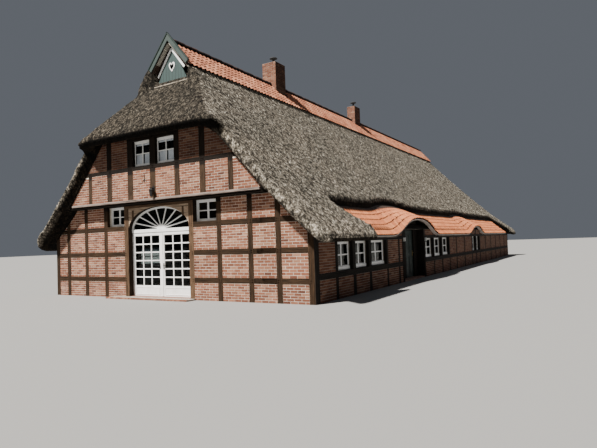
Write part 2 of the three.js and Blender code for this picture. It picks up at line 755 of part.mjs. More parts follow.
function gateLeaf(side) {
  const word = side < 0 ? 'left' : 'right';
  const hingeX = side < 0 ? GATE_LEFT + LEAF_CLEAR : GATE_RIGHT - LEAF_CLEAR;
  const meetX = GATE_CENTRE + (side * LEAF_MEET) / 2;
  const x0 = Math.min(hingeX, meetX);
  const x1 = Math.max(hingeX, meetX);
  const y0 = THICK - LEAF_THICK;
  const top = TRANSOM_BOTTOM - 10;
  const light = {
    x0: x0 + LEAF_STILE, x1: x1 - LEAF_STILE, z0: LEAF_PANEL_TOP, z1: top - LEAF_STILE,
  };
  const pivotX = hingeX + side * GATE_PIVOT_INSET;
  const pivotY = THICK + HINGE_OFFSET;
  const straps = HINGE_HEIGHTS.flatMap((z) => {
    const strapEnd = hingeX - side * 90;
    const strapStart = pivotX - side * 0.5;
    return [
      barrel(pivotX, pivotY, z),
      box(
        Math.min(strapStart, strapEnd), Math.max(strapStart, strapEnd),
        THICK - 1, THICK + 6, z - HINGE_LENGTH / 2 + 20, z + HINGE_LENGTH / 2 - 20,
      ),
    ];
  });
  const leaf = join([
    box(x0, x1, y0, THICK, LEAF_BOTTOM, top)
      .subtract(box(light.x0, light.x1, y0 - 10, THICK + 10, light.z0, light.z1)),
    ...straps,
  ]);
  const hinge = new THREE.Group();
  hinge.name = `hinge_${word}`;
  hinge.position.set(pivotX, pivotY, 0);
  house.add(hinge);
  const shift = new THREE.Vector3(pivotX, pivotY, 0);
  const local = (solid) => solid.translate([-shift.x, -shift.y, -shift.z]);
  place(hinge, `gate_leaf_${word}`, local(leaf), materials.white);
  const y = y0 + LEAF_THICK / 2;
  const pane = box(
    light.x0 + GAP, light.x1 - GAP, y - PANE / 2, y + PANE / 2, light.z0 + GAP, light.z1 - GAP,
  );
  place(hinge, `gate_glass_${word}`, local(pane), materials.glass);
}

function gateLantern() {
  const face = -JETTY - PROUD - GAP;
  const arm = box(-15, 15, face - 150, face, 3640, 3670);
  const plate = box(-45, 45, face - 12, face, 3560, 3720);
  const body = new THREE.CylinderGeometry(75, 50, 230, 6);
  body.rotateX(Math.PI / 2);
  body.translate(0, face - 110, 3500);
  const hood = new THREE.CylinderGeometry(12, 90, 60, 6);
  hood.rotateX(Math.PI / 2);
  hood.translate(0, face - 110, 3630);
  place(house, 'gate_lantern', join([arm, plate, solidOf(body), solidOf(hood)]), materials.iron);
}

// Side walls

function sidePosts(withPorch) {
  const extra = withPorch ? PORCH_POSTS : [[7105, 7280], [8600, 8790], [9950, 10150]];
  return [...NEAR_POSTS, ...extra, ...FAR_POSTS];
}

function sideFrame(side, withPorch) {
  const x0 = HALF - TIMBER_DEPTH;
  const x1 = HALF + PROUD;
  const from = THICK + GAP;
  const to = REAR - THICK - GAP;
  const solids = sidePosts(withPorch).map(([y0, y1]) => box(x0, x1, y0, y1, 0, 2500));
  if (withPorch) {
    solids.push(box(x0, x1, from, RECESS[0], HEAD_BOTTOM, HEAD_TOP));
    solids.push(box(x0, x1, RECESS[1], to, HEAD_BOTTOM, HEAD_TOP));
    solids.push(box(x0, x1, PORCH_POSTS[0][0], PORCH_POSTS[1][1], RECESS_TOP, LINTEL_TOP));
  } else {
    solids.push(box(x0, x1, from, to, HEAD_BOTTOM, HEAD_TOP));
  }
  const sills = sillRuns(withPorch).map(([y0, y1]) => (
    box(HALF + PROUD - SILL_DEPTH - GAP, x1 + 20, y0 - GAP, y1 + GAP, SILL_BOTTOM - GAP, SILL_TOP + GAP)
  ));
  return mirrorIf(side, cut(join(solids), sills));
}

function mirrorIf(side, solid) {
  return side < 0 ? solid.mirror([1, 0, 0]) : solid;
}

function sillRuns(withPorch) {
  const from = THICK + 2;
  const to = REAR - THICK - 2;
  return withPorch ? [[from, PORCH_POSTS[0][0] - 2], [PORCH_POSTS[1][1] + 2, to]] : [[from, to]];
}

function sideBays() {
  return [...NEAR_BAYS, ...FAR_BAYS];
}

function sideWall(side, withPorch, y0, y1) {
  const x0 = HALF - TIMBER_DEPTH - GAP;
  const far = HALF + 40;
  const tools = sidePosts(withPorch).map(([a, b]) => box(x0, far, a - GAP, b + GAP, -20, 2600));
  tools.push(box(x0, far, THICK, REAR, HEAD_BOTTOM - GAP, HEAD_TOP + GAP));
  for (const [a, b] of sillRuns(withPorch)) {
    tools.push(box(HALF + PROUD - SILL_DEPTH - GAP, far, a - 3, b + 3, SILL_BOTTOM - GAP, SILL_TOP + GAP));
  }
  for (const [a, b] of sideBays()) {
    tools.push(box(HALF - THICK - 20, far, a, b, SILL_TOP, HEAD_BOTTOM));
  }
  if (withPorch) {
    tools.push(box(HALF - THICK - 20, far, RECESS[0], RECESS[1], -20, RECESS_TOP));
    tools.push(box(x0, far, PORCH_POSTS[0][0] - GAP, PORCH_POSTS[1][1] + GAP, RECESS_TOP - GAP, LINTEL_TOP + GAP));
  }
  const slab = box(HALF - THICK, HALF, y0, y1, 0, 3000);
  return cut(mirrorIf(side, slab), tools.map((tool) => mirrorIf(side, tool)));
}

function sideWindowRow(side, run, bays) {
  const x1 = HALF + PROUD;
  const sill = box(x1 - SILL_DEPTH, x1, run[0], run[1], SILL_BOTTOM, SILL_TOP);
  const outer = x1 - SIDE_REVEAL;
  const frames = bays.map(([a, b]) => {
    const casing = box(outer - CASING_DEPTH, outer, a + GAP, b - GAP, SILL_TOP + GAP, HEAD_BOTTOM - GAP)
      .subtract(box(outer - 90, outer + 90, a + CASING, b - CASING, BOARD_TOP + 10, HEAD_BOTTOM - CASING));
    const board = box(outer - 10, x1 + BOARD_PROUD, a + GAP, b - GAP, SILL_TOP - 40, BOARD_TOP)
      .subtract(box(outer - 90, x1 - SILL_DEPTH, a - 1, b + 1, SILL_TOP - 90, SILL_TOP + GAP));
    return casing.add(board);
  });
  return mirrorIf(side, join([sill, ...frames]));
}

function sideSheet(side, bays) {
  const x = HALF - THICK - GAP;
  const y0 = bays[0][0] - SHEET_LAP;
  const y1 = bays[bays.length - 1][1] + SHEET_LAP;
  return mirrorIf(side, box(x - PANE, x, y0, y1, SILL_TOP - 40, HEAD_BOTTOM + 40));
}

function rightSide() {
  const runs = sillRuns(true);
  const front = underRoof(sideWall(1, true, THICK + GAP, RECESS[0]));
  const rear = underRoof(sideWall(1, true, RECESS[0] + GAP, REAR - THICK - GAP));
  place(house, 'right_wall_front', front, materials.brick);
  place(house, 'right_wall_rear', rear, materials.brick);
  place(house, 'right_frame', underRoof(sideFrame(1, true)), materials.timber);
  place(house, 'side_windows_front', sideWindowRow(1, runs[0], NEAR_BAYS), materials.white);
  place(house, 'side_windows_rear', sideWindowRow(1, runs[1], FAR_BAYS), materials.white);
  place(house, 'side_glass_front', sideSheet(1, NEAR_BAYS), materials.glass);
  place(house, 'side_glass_rear', sideSheet(1, FAR_BAYS), materials.glass);
}

function leftSide() {
  const wall = sideWall(-1, false, THICK + GAP, REAR - THICK - GAP);
  place(house, 'left_wall', wall.intersect(underThatch), materials.brick);
  place(house, 'left_frame', sideFrame(-1, false).intersect(underThatch), materials.timber);
  place(house, 'left_windows', sideWindowRow(-1, sillRuns(false)[0], sideBays()), materials.white);
  place(house, 'left_glass', sideSheet(-1, sideBays()), materials.glass);
}

// Porch

function porch() {
  const top = 3000;
  const foot = FLOOR_TOP + GAP;
  const wallIn = HALF - THICK - GAP;
  const front = join([
    box(PORCH_INNER, wallIn, RECESS[0] - PORCH_CHEEK, RECESS[0], foot, top),
    box(PORCH_INNER, PORCH_OUTER, RECESS[0] - 1, PORCH_DOOR[0], foot, top),
  ]);
  const rear = join([
    box(PORCH_INNER, wallIn, RECESS[1], RECESS[1] + PORCH_CHEEK, foot, top),
    box(PORCH_INNER, PORCH_OUTER, PORCH_DOOR[1], RECESS[1] + 1, foot, top),
    box(PORCH_INNER, PORCH_OUTER, PORCH_DOOR[0] + GAP, PORCH_DOOR[1] + 1, PORCH_DOOR_TOP, top),
  ]);
  place(house, 'porch_wall_front', underRoof(front), materials.brick);
  place(house, 'porch_wall_rear', underRoof(rear), materials.brick);
  const inner = PORCH_LEAF_OUTER - PORCH_LEAF_THICK;
  const y0 = PORCH_DOOR[0] + LEAF_CLEAR;
  const y1 = PORCH_DOOR[1] - LEAF_CLEAR - 4;
  const pivotX = inner - HINGE_OFFSET;
  const pivotY = PORCH_DOOR[0] + HINGE_OFFSET;
  const straps = HINGE_HEIGHTS.flatMap((z) => [
    barrel(pivotX, pivotY, z),
    box(inner - 6, inner + 1, pivotY, pivotY + 90, z - HINGE_LENGTH / 2 + 20, z + HINGE_LENGTH / 2 - 20),
  ]);
  const leaf = join([
    box(inner, PORCH_LEAF_OUTER, y0, y1, LEAF_BOTTOM, PORCH_DOOR_TOP - 8),
    ...straps,
  ]);
  place(house, 'porch_door', leaf, materials.green, new THREE.Vector3(pivotX, pivotY, 0));
  const face = HALF + PROUD + GAP;
  for (const { name, y, z } of PORCH_LAMPS) {
    place(house, name, box(face, face + 110, y - 45, y + 45, z - 100, z + 100), materials.iron);
  }
}

// Rear wall

function rearBoxes(grow) {
  const y0 = REAR - TIMBER_DEPTH - grow;
  const y1 = REAR + PROUD + 30 * (grow > 0);
  const boxes = REAR_POSTS.map((x) => (
    box(x - POST / 2 - grow, x + POST / 2 + grow, y0, y1, -20 * (grow > 0), 2500)
  ));
  boxes.push(box(-HALF - 10, HALF + 10, y0, y1, HEAD_BOTTOM - grow, HEAD_TOP + grow));
  for (const side of [-1, 1]) {
    const a = side * (HALF + PROUD + 20 * (grow > 0));
    const b = side * (HALF + PROUD - CORNER_POST - grow);
    boxes.push(box(Math.min(a, b), Math.max(a, b), REAR - CORNER_POST - grow, y1, -20 * (grow > 0), 2500));
  }
  return boxes;
}

function rearSide() {
  const sillIn = REAR + PROUD - SILL_DEPTH;
  const sillHalf = HALF + PROUD - CORNER_POST - 2;
  const slab = box(-HALF, HALF, REAR - THICK, REAR, 0, 3000);
  const sillSlot = box(
    -sillHalf - GAP, sillHalf + GAP, sillIn - GAP, REAR + 40, SILL_BOTTOM - GAP, SILL_TOP + GAP,
  );
  const openings = REAR_BAYS.map(([a, b]) => (
    box(a, b, REAR - THICK - 20, REAR + 40, SILL_TOP, HEAD_BOTTOM)
  ));
  const wall = cut(slab, [...rearBoxes(GAP), sillSlot, ...openings]);
  place(house, 'rear_wall', wall.intersect(underThatch), materials.brick);
  const frame = join(rearBoxes(0)).subtract(sillSlot);
  const clear = box(-HALF - PROUD, HALF + PROUD, REAR - CORNER_POST, REAR + PROUD, 0, 3000);
  place(house, 'rear_frame', frame.intersect(clear).intersect(underThatch), materials.timber);
  const outer = REAR + PROUD - SIDE_REVEAL;
  const frames = REAR_BAYS.map(([a, b]) => {
    const casing = box(a + GAP, b - GAP, outer - CASING_DEPTH, outer, SILL_TOP + GAP, HEAD_BOTTOM - GAP)
      .subtract(box(a + CASING, b - CASING, outer - 90, outer + 90, BOARD_TOP + 10, HEAD_BOTTOM - CASING));
    const board = box(a + GAP, b - GAP, outer - 10, REAR + PROUD + BOARD_PROUD, SILL_TOP - 40, BOARD_TOP)
      .subtract(box(a - 1, b + 1, outer - 90, sillIn, SILL_TOP - 90, SILL_TOP + GAP));
    return casing.add(board);
  });
  const sill = box(-sillHalf, sillHalf, sillIn, REAR + PROUD, SILL_BOTTOM, SILL_TOP);
  place(house, 'rear_windows', join([sill, ...frames]), materials.white);
  const y = REAR - THICK - GAP;
  const sheet = box(
    REAR_BAYS[0][0] - 40, REAR_BAYS[1][1] + 40, y - PANE, y, SILL_TOP - 40, HEAD_BOTTOM + 40,
  );
  place(house, 'rear_glass', sheet, materials.glass);
}

// Floors

function floors() {
  const inX = HALF - THICK - GAP;
  const ground = join([
    box(-inX, inX, THICK + GAP, REAR - THICK - GAP, 0, FLOOR_TOP),
    box(GATE_LEFT + GAP, GATE_RIGHT - GAP, -PROUD, THICK + 1, 0, FLOOR_TOP),
    box(inX - 1, HALF, RECESS[0] + GAP, RECESS[1] - GAP, 0, FLOOR_TOP),
  ]);
  place(house, 'ground_floor', ground, materials.paving);
  const attic = box(-4700, 4700, -JETTY, REAR, ATTIC_BOTTOM, ATTIC_TOP);
  place(house, 'attic_floor', attic.intersect(underThatch), materials.boards);
  const step = box(-2400, 1400, -420, -PROUD - GAP, 0, FLOOR_TOP - 5);
  place(house, 'gate_threshold', step, materials.stone);
}

fronts();
upperGable();
sillBeam();
gateFrame();
fanlight();
gateLeaf(-1);
gateLeaf(1);
gateLantern();
rightSide();
leftSide();
porch();
rearSide();
floors();
thatch();
place(house, 'side_tile_roof', tileRoof(), materials.tile);
ridgeTiles();
gablets();
bargeboards();
chimneys();

export default house;
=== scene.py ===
import math
import random

import bmesh
import bpy
from mathutils import Matrix, Vector
from mathutils.bvhtree import BVHTree


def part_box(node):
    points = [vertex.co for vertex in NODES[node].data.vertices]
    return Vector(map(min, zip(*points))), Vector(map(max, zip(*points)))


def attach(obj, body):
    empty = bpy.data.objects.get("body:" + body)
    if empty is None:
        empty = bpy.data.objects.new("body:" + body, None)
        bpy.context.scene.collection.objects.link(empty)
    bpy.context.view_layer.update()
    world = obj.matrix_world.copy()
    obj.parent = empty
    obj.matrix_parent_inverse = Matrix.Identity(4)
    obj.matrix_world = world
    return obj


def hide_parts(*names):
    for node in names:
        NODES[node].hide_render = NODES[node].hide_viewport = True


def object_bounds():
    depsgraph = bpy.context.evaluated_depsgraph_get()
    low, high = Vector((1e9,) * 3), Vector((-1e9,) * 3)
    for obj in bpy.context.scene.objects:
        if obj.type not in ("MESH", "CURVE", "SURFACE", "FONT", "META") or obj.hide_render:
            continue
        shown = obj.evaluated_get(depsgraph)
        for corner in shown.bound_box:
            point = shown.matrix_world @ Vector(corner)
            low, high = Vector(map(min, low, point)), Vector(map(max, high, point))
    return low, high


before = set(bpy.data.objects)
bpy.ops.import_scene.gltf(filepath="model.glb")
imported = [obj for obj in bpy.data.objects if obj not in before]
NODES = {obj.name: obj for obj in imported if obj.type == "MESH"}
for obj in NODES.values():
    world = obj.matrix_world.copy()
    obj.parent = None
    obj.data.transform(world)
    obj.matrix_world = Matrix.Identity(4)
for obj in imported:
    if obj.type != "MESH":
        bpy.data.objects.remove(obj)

# Thatched hall house, in metres. X runs to the right along the gable front, Y back along the ridge.
CAD_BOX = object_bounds()
X_AXIS = Vector((1, 0, 0))
Y_AXIS = Vector((0, 1, 0))
Z_AXIS = Vector((0, 0, 1))

# Camera, solved from the picture
PICTURE_WIDTH_PX = 597
FOCAL_LENGTH_PX = 503.055
SENSOR_WIDTH_MM = 36
CAMERA_PLACE = (12.486, -12.016, 1.747)
CAMERA_RIGHT = (0.8566, 0.5148, -0.0348)
CAMERA_FORWARD = (-0.5138, 0.8572, 0.0348)

# Light and stage
SUN_TOWARDS = (-0.30, -0.62, 0.95)
SUN_STRENGTH = 12.2
SUN_DEGREES = 3
SUN_COLOUR = (1.0, 0.96, 0.90)
SKY_COLOUR = (0.80, 0.87, 1.0, 1)
SKY_STRENGTH = 0.15
FLOOR_COLOUR = (0.25, 0.247, 0.240, 1)
FLOOR_REACH = 150

# Beam, corners and recess
BEAM_ROLL = 0.08
BEAM_HOLLOW = 0.12
CORNER_HEAD = 2.2
CORNER_BOARD = 0.022
PORCH_SPAN = (7.28, 9.95)
PORCH_HEAD = 2.15
PORCH_BOARD_HEAD = 2.50
PORCH_BOARD = 0.15
PORCH_BOARD_GAP = 0.004
DOOR_MARGIN = 0.02
PLATE_MIDDLE = (5.636, 2.20)
PLATE_OUT = (0.62, 0.785)
PLATE_SIZE = (0.30, 0.03)
PLATE_RUNS = ((0.3, 7.3), (7.3, 10.0), (10.0, 21.5), (21.5, 33.0))

# Brickwork
BRICK_LENGTH = 0.235
COURSE = 0.083
JOINT = 0.012
BRICK_PROUD = 0.004
BRICK_DEPTH = 0.02
SHORTEST_BRICK = 0.03
PANEL_SEARCH = 0.21

# Timber
TIMBER_DEPTH = 0.12
TIMBER_CHAMFER = 0.007
TIMBER_WOBBLE = 0.012
WOBBLE_SCALE = 1.7
PEG = 0.026
PEG_INSET = 0.06
LONGEST_PEGGED_RAIL = 2.5
FRONT_LEVELS = (0.3, 1.1, 1.9, 2.7)
GABLE_LEVELS = (3.8, 4.9)
SIDE_LEVELS = (0.3, 1.2, 2.0)
GRAIN_SHIFT = (37.0, 11.0, 23.0)

# Clay tiles
TILE_WIDTH = 0.215
TILE_THICKNESS = 0.016
TILE_WAVE = 0.030
TILE_TILT = 0.085
TILE_BEDDING = 0.16
TILE_SIDE_LAP = 0.012
TILE_HEAD_LAP = 0.07
TILE_LIFT = 0.012
TILE_LAP_MARK = (-0.40, -0.48)
DECK_DROP = 0.06
DECK_INSET = 0.05
EAVE_BOARD_DROP = 0.085
EAVE_BOARD = (0.032, 0.022)
EAVE_LINING = (0.13, 0.012)
EAVE_STEP = 0.2
EAVE_START = 2.9
SIDE_TILE_HEAD = 5.05
SIDE_COURSES = 5
RIDGE_COURSES = 5
RIDGE_CAP = (0.34, 0.25, 0.23)
RIDGE_CAP_LAP = 0.05
RIDGE_CAP_DROP = 0.115

# Thatch
THATCH_VOXEL = 0.100
THATCH_SMOOTHING = 2
THATCH_UNEVEN = 0.045
THATCH_SWELL = 0.022
REED_LENGTH = 0.070
REED_WIDTH = 0.032
REED_DENSITY = 72
REED_LIFT = 0.16
REED_SPREAD = 0.24
REED_STEEPEST = 0.54
HIP_EAVE = 5.15
EAVE_ROLL = ((6.08, 2.245), (6.349, 1.83), (6.349, 1.74), (6.20, 1.71), (6.06, 1.90))
EAVE_RUNS = ((-1, -0.60, 33.85), (1, -0.60, 3.2), (1, 32.5, 33.85))
EAR = (
    (3.16, -0.80, 5.24), (3.10, -1.00, 5.40), (2.45, -0.80, 5.25), (2.45, -1.00, 5.47),
    (3.10, 0.20, 5.26), (2.60, -0.20, 5.90), (2.85, -0.80, 5.56),
)
SHOULDERS = {
    -1: (
        (0.80, 0.48, 7.30), (1.42, 0.30, 7.05), (0.80, 1.30, 7.40), (1.42, 1.30, 7.05), (0.80, 0.48, 7.98),
        (1.04, 0.46, 8.02), (1.22, 0.46, 7.80), (1.42, 0.42, 7.42), (0.80, 1.30, 7.98), (1.25, 1.30, 7.55),
    ),
    1: (
        (0.90, 0.46, 7.20), (1.42, 0.30, 7.05), (0.90, 1.30, 7.40), (1.42, 1.30, 7.05), (0.84, 0.48, 7.76),
        (1.08, 0.50, 7.70), (1.38, 0.46, 7.34), (0.90, 1.00, 7.76), (1.20, 1.00, 7.50),
    ),
}

# Verges, left and right: where the cut starts to slant back, and where it starts to be in shade
VERGE_UNDERCUT = 0.85
VERGE_SLANT = {-1: (0.0, 0.45), 1: (0.36, 0.56)}
CUT_LIT = {-1: (0.08, 0.22), 1: (0.34, 0.44)}
CUT_NORMAL = (0.30, 0.05)
LIP_CUT_SHIFT = 0.35
GABLE_FRONT = -0.331
JETTY_HEIGHT = 3.2

# Joinery
CASING = 0.062
CASING_DEPTH = 0.06
BAR_WIDTH = 0.032
BAR_DEPTH = 0.036
SASH_RIM = 0.03
MULLION = 0.075
GLASS_THICKNESS = 0.006
SIDE_REVEAL = 0.15
SIDE_MULLION = 0.05
SIDE_CASING = 0.064
SIDE_CASING_DEPTH = 0.026
SIDE_RIM = 0.012
SIDE_BAR = 0.045
CASING_FOOT = 0.89
BOARD_PROUD = 0.03
BOARD_DEPTH = 0.09
SILL_TOP = 0.835
BOARD_TOP = 0.94
HEAD_BOTTOM = 1.70
WINDOW_MIDDLE = 1.3
CLOTH = 0.002
FOLD_DEPTH = 0.012
CURTAIN_BACK = 0.03
ROD = 0.012

# Chimneys
CHIMNEY_COLLAR = 0.045
CHIMNEY_FOOT = 7.3
CHIMNEY_TOP_DROP = 0.12
COWL_RADIUS = 0.18
COWL_FOOT = 0.11
COWL_PIPE = 0.05
COWL_THICKNESS = 0.12

# Gate
GATE_LEFT = -1.655
GATE_RIGHT = 1.177
GATE_CENTRE = -0.239
TRANSOM_TOP = 2.35
ARCH_RISE = 0.745
PLATE_FOOT = 3.10
SPANDREL_HEAD = PLATE_FOOT + 0.01
SPANDREL_BACK = 0.023
BRACE_MARKS = (-1.42, 0.93)
BRACE_SPAN = (2.72, 3.02)
LEAF_FRONT = 0.18
LEAF_FOOT = 0.06
LEAF_PANEL_MARGIN = 0.03
LEAF_PANEL_RIM = (0.02, 0.016)
STRIP_SPAN = (0.075, 2.215)
STRIP_SHIFT = 0.026
GATE_COLUMNS = 3
GATE_ROWS = 6
GATE_RIM = 0.016
GATE_LEVEL_BAR = 0.037
GATE_UPRIGHT_BAR = 0.040
GATE_BAR_DEPTH = 0.044
HANDLE_HEIGHT = 1.10
HANDLE_SHIFT = 0.085
LEVER = 0.11
FAN_PARTS = 9
FAN_BAR_HUB = 0.040
FAN_BAR_TIP = 0.046
HUB_RADIUS = 0.2

# Side door
PORCH_WALL_FACE = 5.41
PORCH_LEAF_OUTER = 5.375
DOOR_PANELS = ((0.20, 0.95), (1.07, 1.88))
DOOR_STILE = 0.10
PANEL_RIM = 0.028
PANEL_FIELD_INSET = 0.11
DOOR_HANDLE_HEIGHT = 1.09

# Gablet
PANEL_CORNERS = ((-0.74, 7.36), (0.74, 7.36), (0, 8.70))
TRIM_APEX = 8.60
TRIM_FEET = ((-0.665, 7.70), (0.585, 7.85))
TRIM_WIDTH = 0.075
HEART_HEIGHT = 7.96
HEART_SIZE = (0.19, 0.23)
HEART_RIM = 1.45
SOFFIT_MIDDLE = 0.555
SOFFIT_WIDTH = 0.16
SOFFIT_APEX = (0.03, 8.735)
SOFFIT_FOOT = (0.9, 7.745)
LIP_LEFT = Vector((-1.06, 0.50, 7.31))
LIP_RIGHT = Vector((0.93, 0.50, 7.33))
LIP_THICKNESS = 0.05
LIP_PARTS = 22
BARGE_FOOT = 7.995

# Small things
ANCHOR = (-0.42, 4.02)
ANCHOR_HALF = 0.13
ANCHOR_SPREAD = 0.09
ANCHOR_DROP = 0.12
EDGE_BRICK = 0.075
EDGE_BRICK_LENGTH = 0.11
LAMP_BODY = 0.075
LAMP_CAP = (0.024, 0.09, 0.09)
LAMP_BASE = (0.02, 0.085, 0.085)
LAMP_BARS = 0.036


# Shader helpers

class Nodes:
    """A node tree that is filled by code."""

    def __init__(self, tree):
        self.tree = tree

    def join(self, source, socket):
        """Feeds a socket from another one, or sets its value."""
        if isinstance(source, bpy.types.NodeSocket):
            self.tree.links.new(source, socket)
        else:
            socket.default_value = source

    def add(self, kind, sources=None, **settings):
        node = self.tree.nodes.new(kind)
        for name, value in settings.items():
            setattr(node, name, value)
        for socket, source in (sources or {}).items():
            self.join(source, node.inputs[socket])
        return node

    def parts(self, vector):
        return self.add("ShaderNodeSeparateXYZ", {0: vector}).outputs

    def maths(self, operation, first, second=0.0):
        return self.add("ShaderNodeMath", {0: first, 1: second}, operation=operation).outputs[0]


class Finish(Nodes):
    """One material, with short calls for the nodes that the finishes share."""

    def __init__(self, name, roughness=0.8, metallic=0.0, gloss=0.5):
        self.material = bpy.data.materials.new(name)
        self.material.use_nodes = True
        super().__init__(self.material.node_tree)
        self.shader = self.tree.nodes["Principled BSDF"]
        self.shader.inputs["Roughness"].default_value = roughness
        self.shader.inputs["Metallic"].default_value = metallic
        self.shader.inputs["Specular IOR Level"].default_value = gloss

    def place(self, stretch=(1, 1, 1), of=None):
        """The object's own coordinates, or another vector, stretched."""
        if of is None:
            of = self.add("ShaderNodeTexCoord").outputs["Object"]
        return self.add("ShaderNodeMapping", {0: of, 3: stretch}).outputs[0]

    def facing(self):
        return self.parts(self.add("ShaderNodeNewGeometry").outputs["Normal"])

    def above(self, height):
        """One above a height of the part, and nothing below it."""
        return self.step(self.parts(self.place())[2], height - 0.03, height + 0.03)

    def attribute(self, name, output="Fac"):
        return self.add("ShaderNodeAttribute", attribute_name=name).outputs[output]

    def noise(self, scale, detail=4.0, roughness=0.6, distortion=0.0, at=None):
        sources = {"Vector": self.place() if at is None else at, "Scale": scale, "Detail": detail}
        sources.update({"Roughness": roughness, "Distortion": distortion})
        return self.add("ShaderNodeTexNoise", sources).outputs[0]

    def bands(self, scale, direction):
        sources = {"Vector": self.place(), "Scale": scale}
        return self.add("ShaderNodeTexWave", sources, bands_direction=direction).outputs["Fac"]

    def ramp(self, factor, *stops):
        node = self.add("ShaderNodeValToRGB", {0: factor})
        points = node.color_ramp.elements
        while len(points) < len(stops):
            points.new(0.5)
        for point, (position, colour) in zip(points, stops):
            point.position = position
            point.color = (*colour, 1)
        return node.outputs[0]

    def greys(self, factor, *stops):
        return self.ramp(factor, *((position, grey(value)) for position, value in stops))

    def step(self, factor, low, high):
        sources = {"Value": factor, "From Min": low, "From Max": high}
        return self.add("ShaderNodeMapRange", sources).outputs[0]

    def mix(self, factor, first, second, blend="MIX"):
        colours = [c if isinstance(c, bpy.types.NodeSocket) else (*c, 1) for c in (first, second)]
        sources = {0: factor, 6: colours[0], 7: colours[1]}
        return self.add("ShaderNodeMix", sources, data_type="RGBA", blend_type=blend).outputs[2]

    def times(self, first, second):
        return self.mix(1.0, first, second, "MULTIPLY")

    def tint(self, where, colour, factor):
        """The colour multiplied by another one where a mask is on."""
        return self.mix(where, colour, self.times(colour, factor))

    def relief(self, height, distance, strength=1.0, under=None):
        sources = {"Height": height, "Distance": distance, "Strength": strength}
        if under is not None:
            sources["Normal"] = under
        return self.add("ShaderNodeBump", sources).outputs[0]

    def finish(self, colour, normal=None, roughness=None):
        for name, source in (("Base Color", colour), ("Normal", normal), ("Roughness", roughness)):
            if source is not None:
                self.join(source, self.shader.inputs[name])
        return self.material


def grey(value):
    return (value, value, value)


# Finishes

def thatch_finish():
    """Weathered reed in pale and dark specks, painted light on the low eaves, darker on the hip, painted
    shade on the cut edges.
    """
    f = Finish("weathered_reed", 0.9, gloss=0.08)
    facing = f.facing()
    width, _, height = f.parts(f.place())
    width = f.maths("ABSOLUTE", width)
    sideways = f.maths("SUBTRACT", f.maths("ABSOLUTE", facing[0]), f.maths("ABSOLUTE", facing[1]))
    is_side = f.step(sideways, -0.1, 0.1)
    places = (f.place((1.0, 0.8, 0.8)), f.place((0.8, 1.0, 0.8)))
    fine = f.mix(is_side, *(f.noise(24, 5, 0.7, at=place) for place in places))
    coarse = f.mix(is_side, *(f.noise(9, 3, 0.7, at=place) for place in places))
    specks = f.ramp(
        fine, (0.32, (0.016, 0.014, 0.011)), (0.46, (0.077, 0.067, 0.055)),
        (0.56, (0.191, 0.172, 0.143)), (0.66, (0.46, 0.435, 0.375)),
    )
    clumps = f.greys(coarse, (0.41, 0.24), (0.50, 0.92), (0.59, 2.15))
    weather = f.ramp(f.noise(0.55, 5, 0.6), (0.35, (0.72, 0.72, 0.70)), (0.65, (1.06, 1.02, 0.97)))
    colour = f.times(f.times(specks, clumps), weather)
    is_hip = f.step(height, HIP_EAVE - 0.3, HIP_EAVE - 0.1)
    is_hip = f.maths("MULTIPLY", f.step(facing[1], -0.25, -0.55), is_hip)
    colour = f.tint(is_hip, colour, (0.230, 0.222, 0.212))
    # Painted light: the roll of the low eaves, which turns away from the sun, made paler.
    colour = f.tint(f.step(width, 6.0, 6.2), colour, grey(1.9))
    # Painted shade on the cut faces that look down, by how far each lies in shade; less of it at the hip's
    # lip and the low eaves.
    at_lip = f.maths("MAXIMUM", f.step(height, HIP_EAVE - 0.1, HIP_EAVE + 0.1), f.step(width, 6.0, 6.1))
    upward = f.maths("ADD", facing[2], f.maths("MULTIPLY", at_lip, LIP_CUT_SHIFT))
    cut_shade = f.maths("MULTIPLY", f.step(upward, *CUT_NORMAL), f.attribute("cut_shade_share"))
    colour = f.tint(cut_shade, colour, (0.05, 0.042, 0.035))
    return f.finish(colour, f.relief(fine, 0.03, 1.0, f.relief(coarse, 0.03, 0.7)))


def reed_finish():
    """Loose reed ends lying on the thatch, each with its own tone."""
    f = Finish("reed_ends", 0.85, gloss=0.1)
    colour = f.ramp(
        f.attribute("tone"), (0.0, (0.018, 0.016, 0.012)), (0.35, (0.070, 0.061, 0.049)),
        (0.75, (0.23, 0.207, 0.170)), (1.0, (0.53, 0.50, 0.425)),
    )
    return f.finish(f.times(colour, f.greys(f.noise(0.9), (0.35, 0.75), (0.65, 1.1))))


def in_shade(f, colour, above, factor, side=None):
    """Painted shade: the colour darker above a height, where a roof's shadow falls, and on the faces that
    look to the right.
    """
    if above is not None:
        colour = f.tint(f.above(above), colour, grey(factor))
    if side is not None:
        colour = f.tint(f.step(f.facing()[0], 0.6, 0.8), colour, grey(side))
    return colour


def brick_finish(name, shade=1.0, painted_shade_above=None, side=None):
    """Hand-made red brick, each one with its own tone, a few burnt dark."""
    f = Finish(name, 0.88, gloss=0.2)
    body = f.ramp(
        f.attribute("tone"), (0.0, (0.110, 0.042, 0.026)), (0.08, (0.165, 0.064, 0.038)),
        (0.45, (0.225, 0.090, 0.052)), (0.75, (0.275, 0.122, 0.072)), (1.0, (0.35, 0.185, 0.115)),
    )
    colour = f.times(body, f.greys(f.noise(42, 5, 0.7), (0.3, 0.72), (0.7, 1.2)))
    colour = f.times(colour, f.greys(f.noise(1.3, 4, 0.65), (0.38, 0.78), (0.62, 1.08)))
    # A shade factor below one, the height and the side darken the brick: painted shade.
    colour = in_shade(f, f.times(colour, grey(shade)), painted_shade_above, 0.42, side)
    return f.finish(colour, f.relief(f.noise(90, 4, 0.7), 0.003, 0.8))


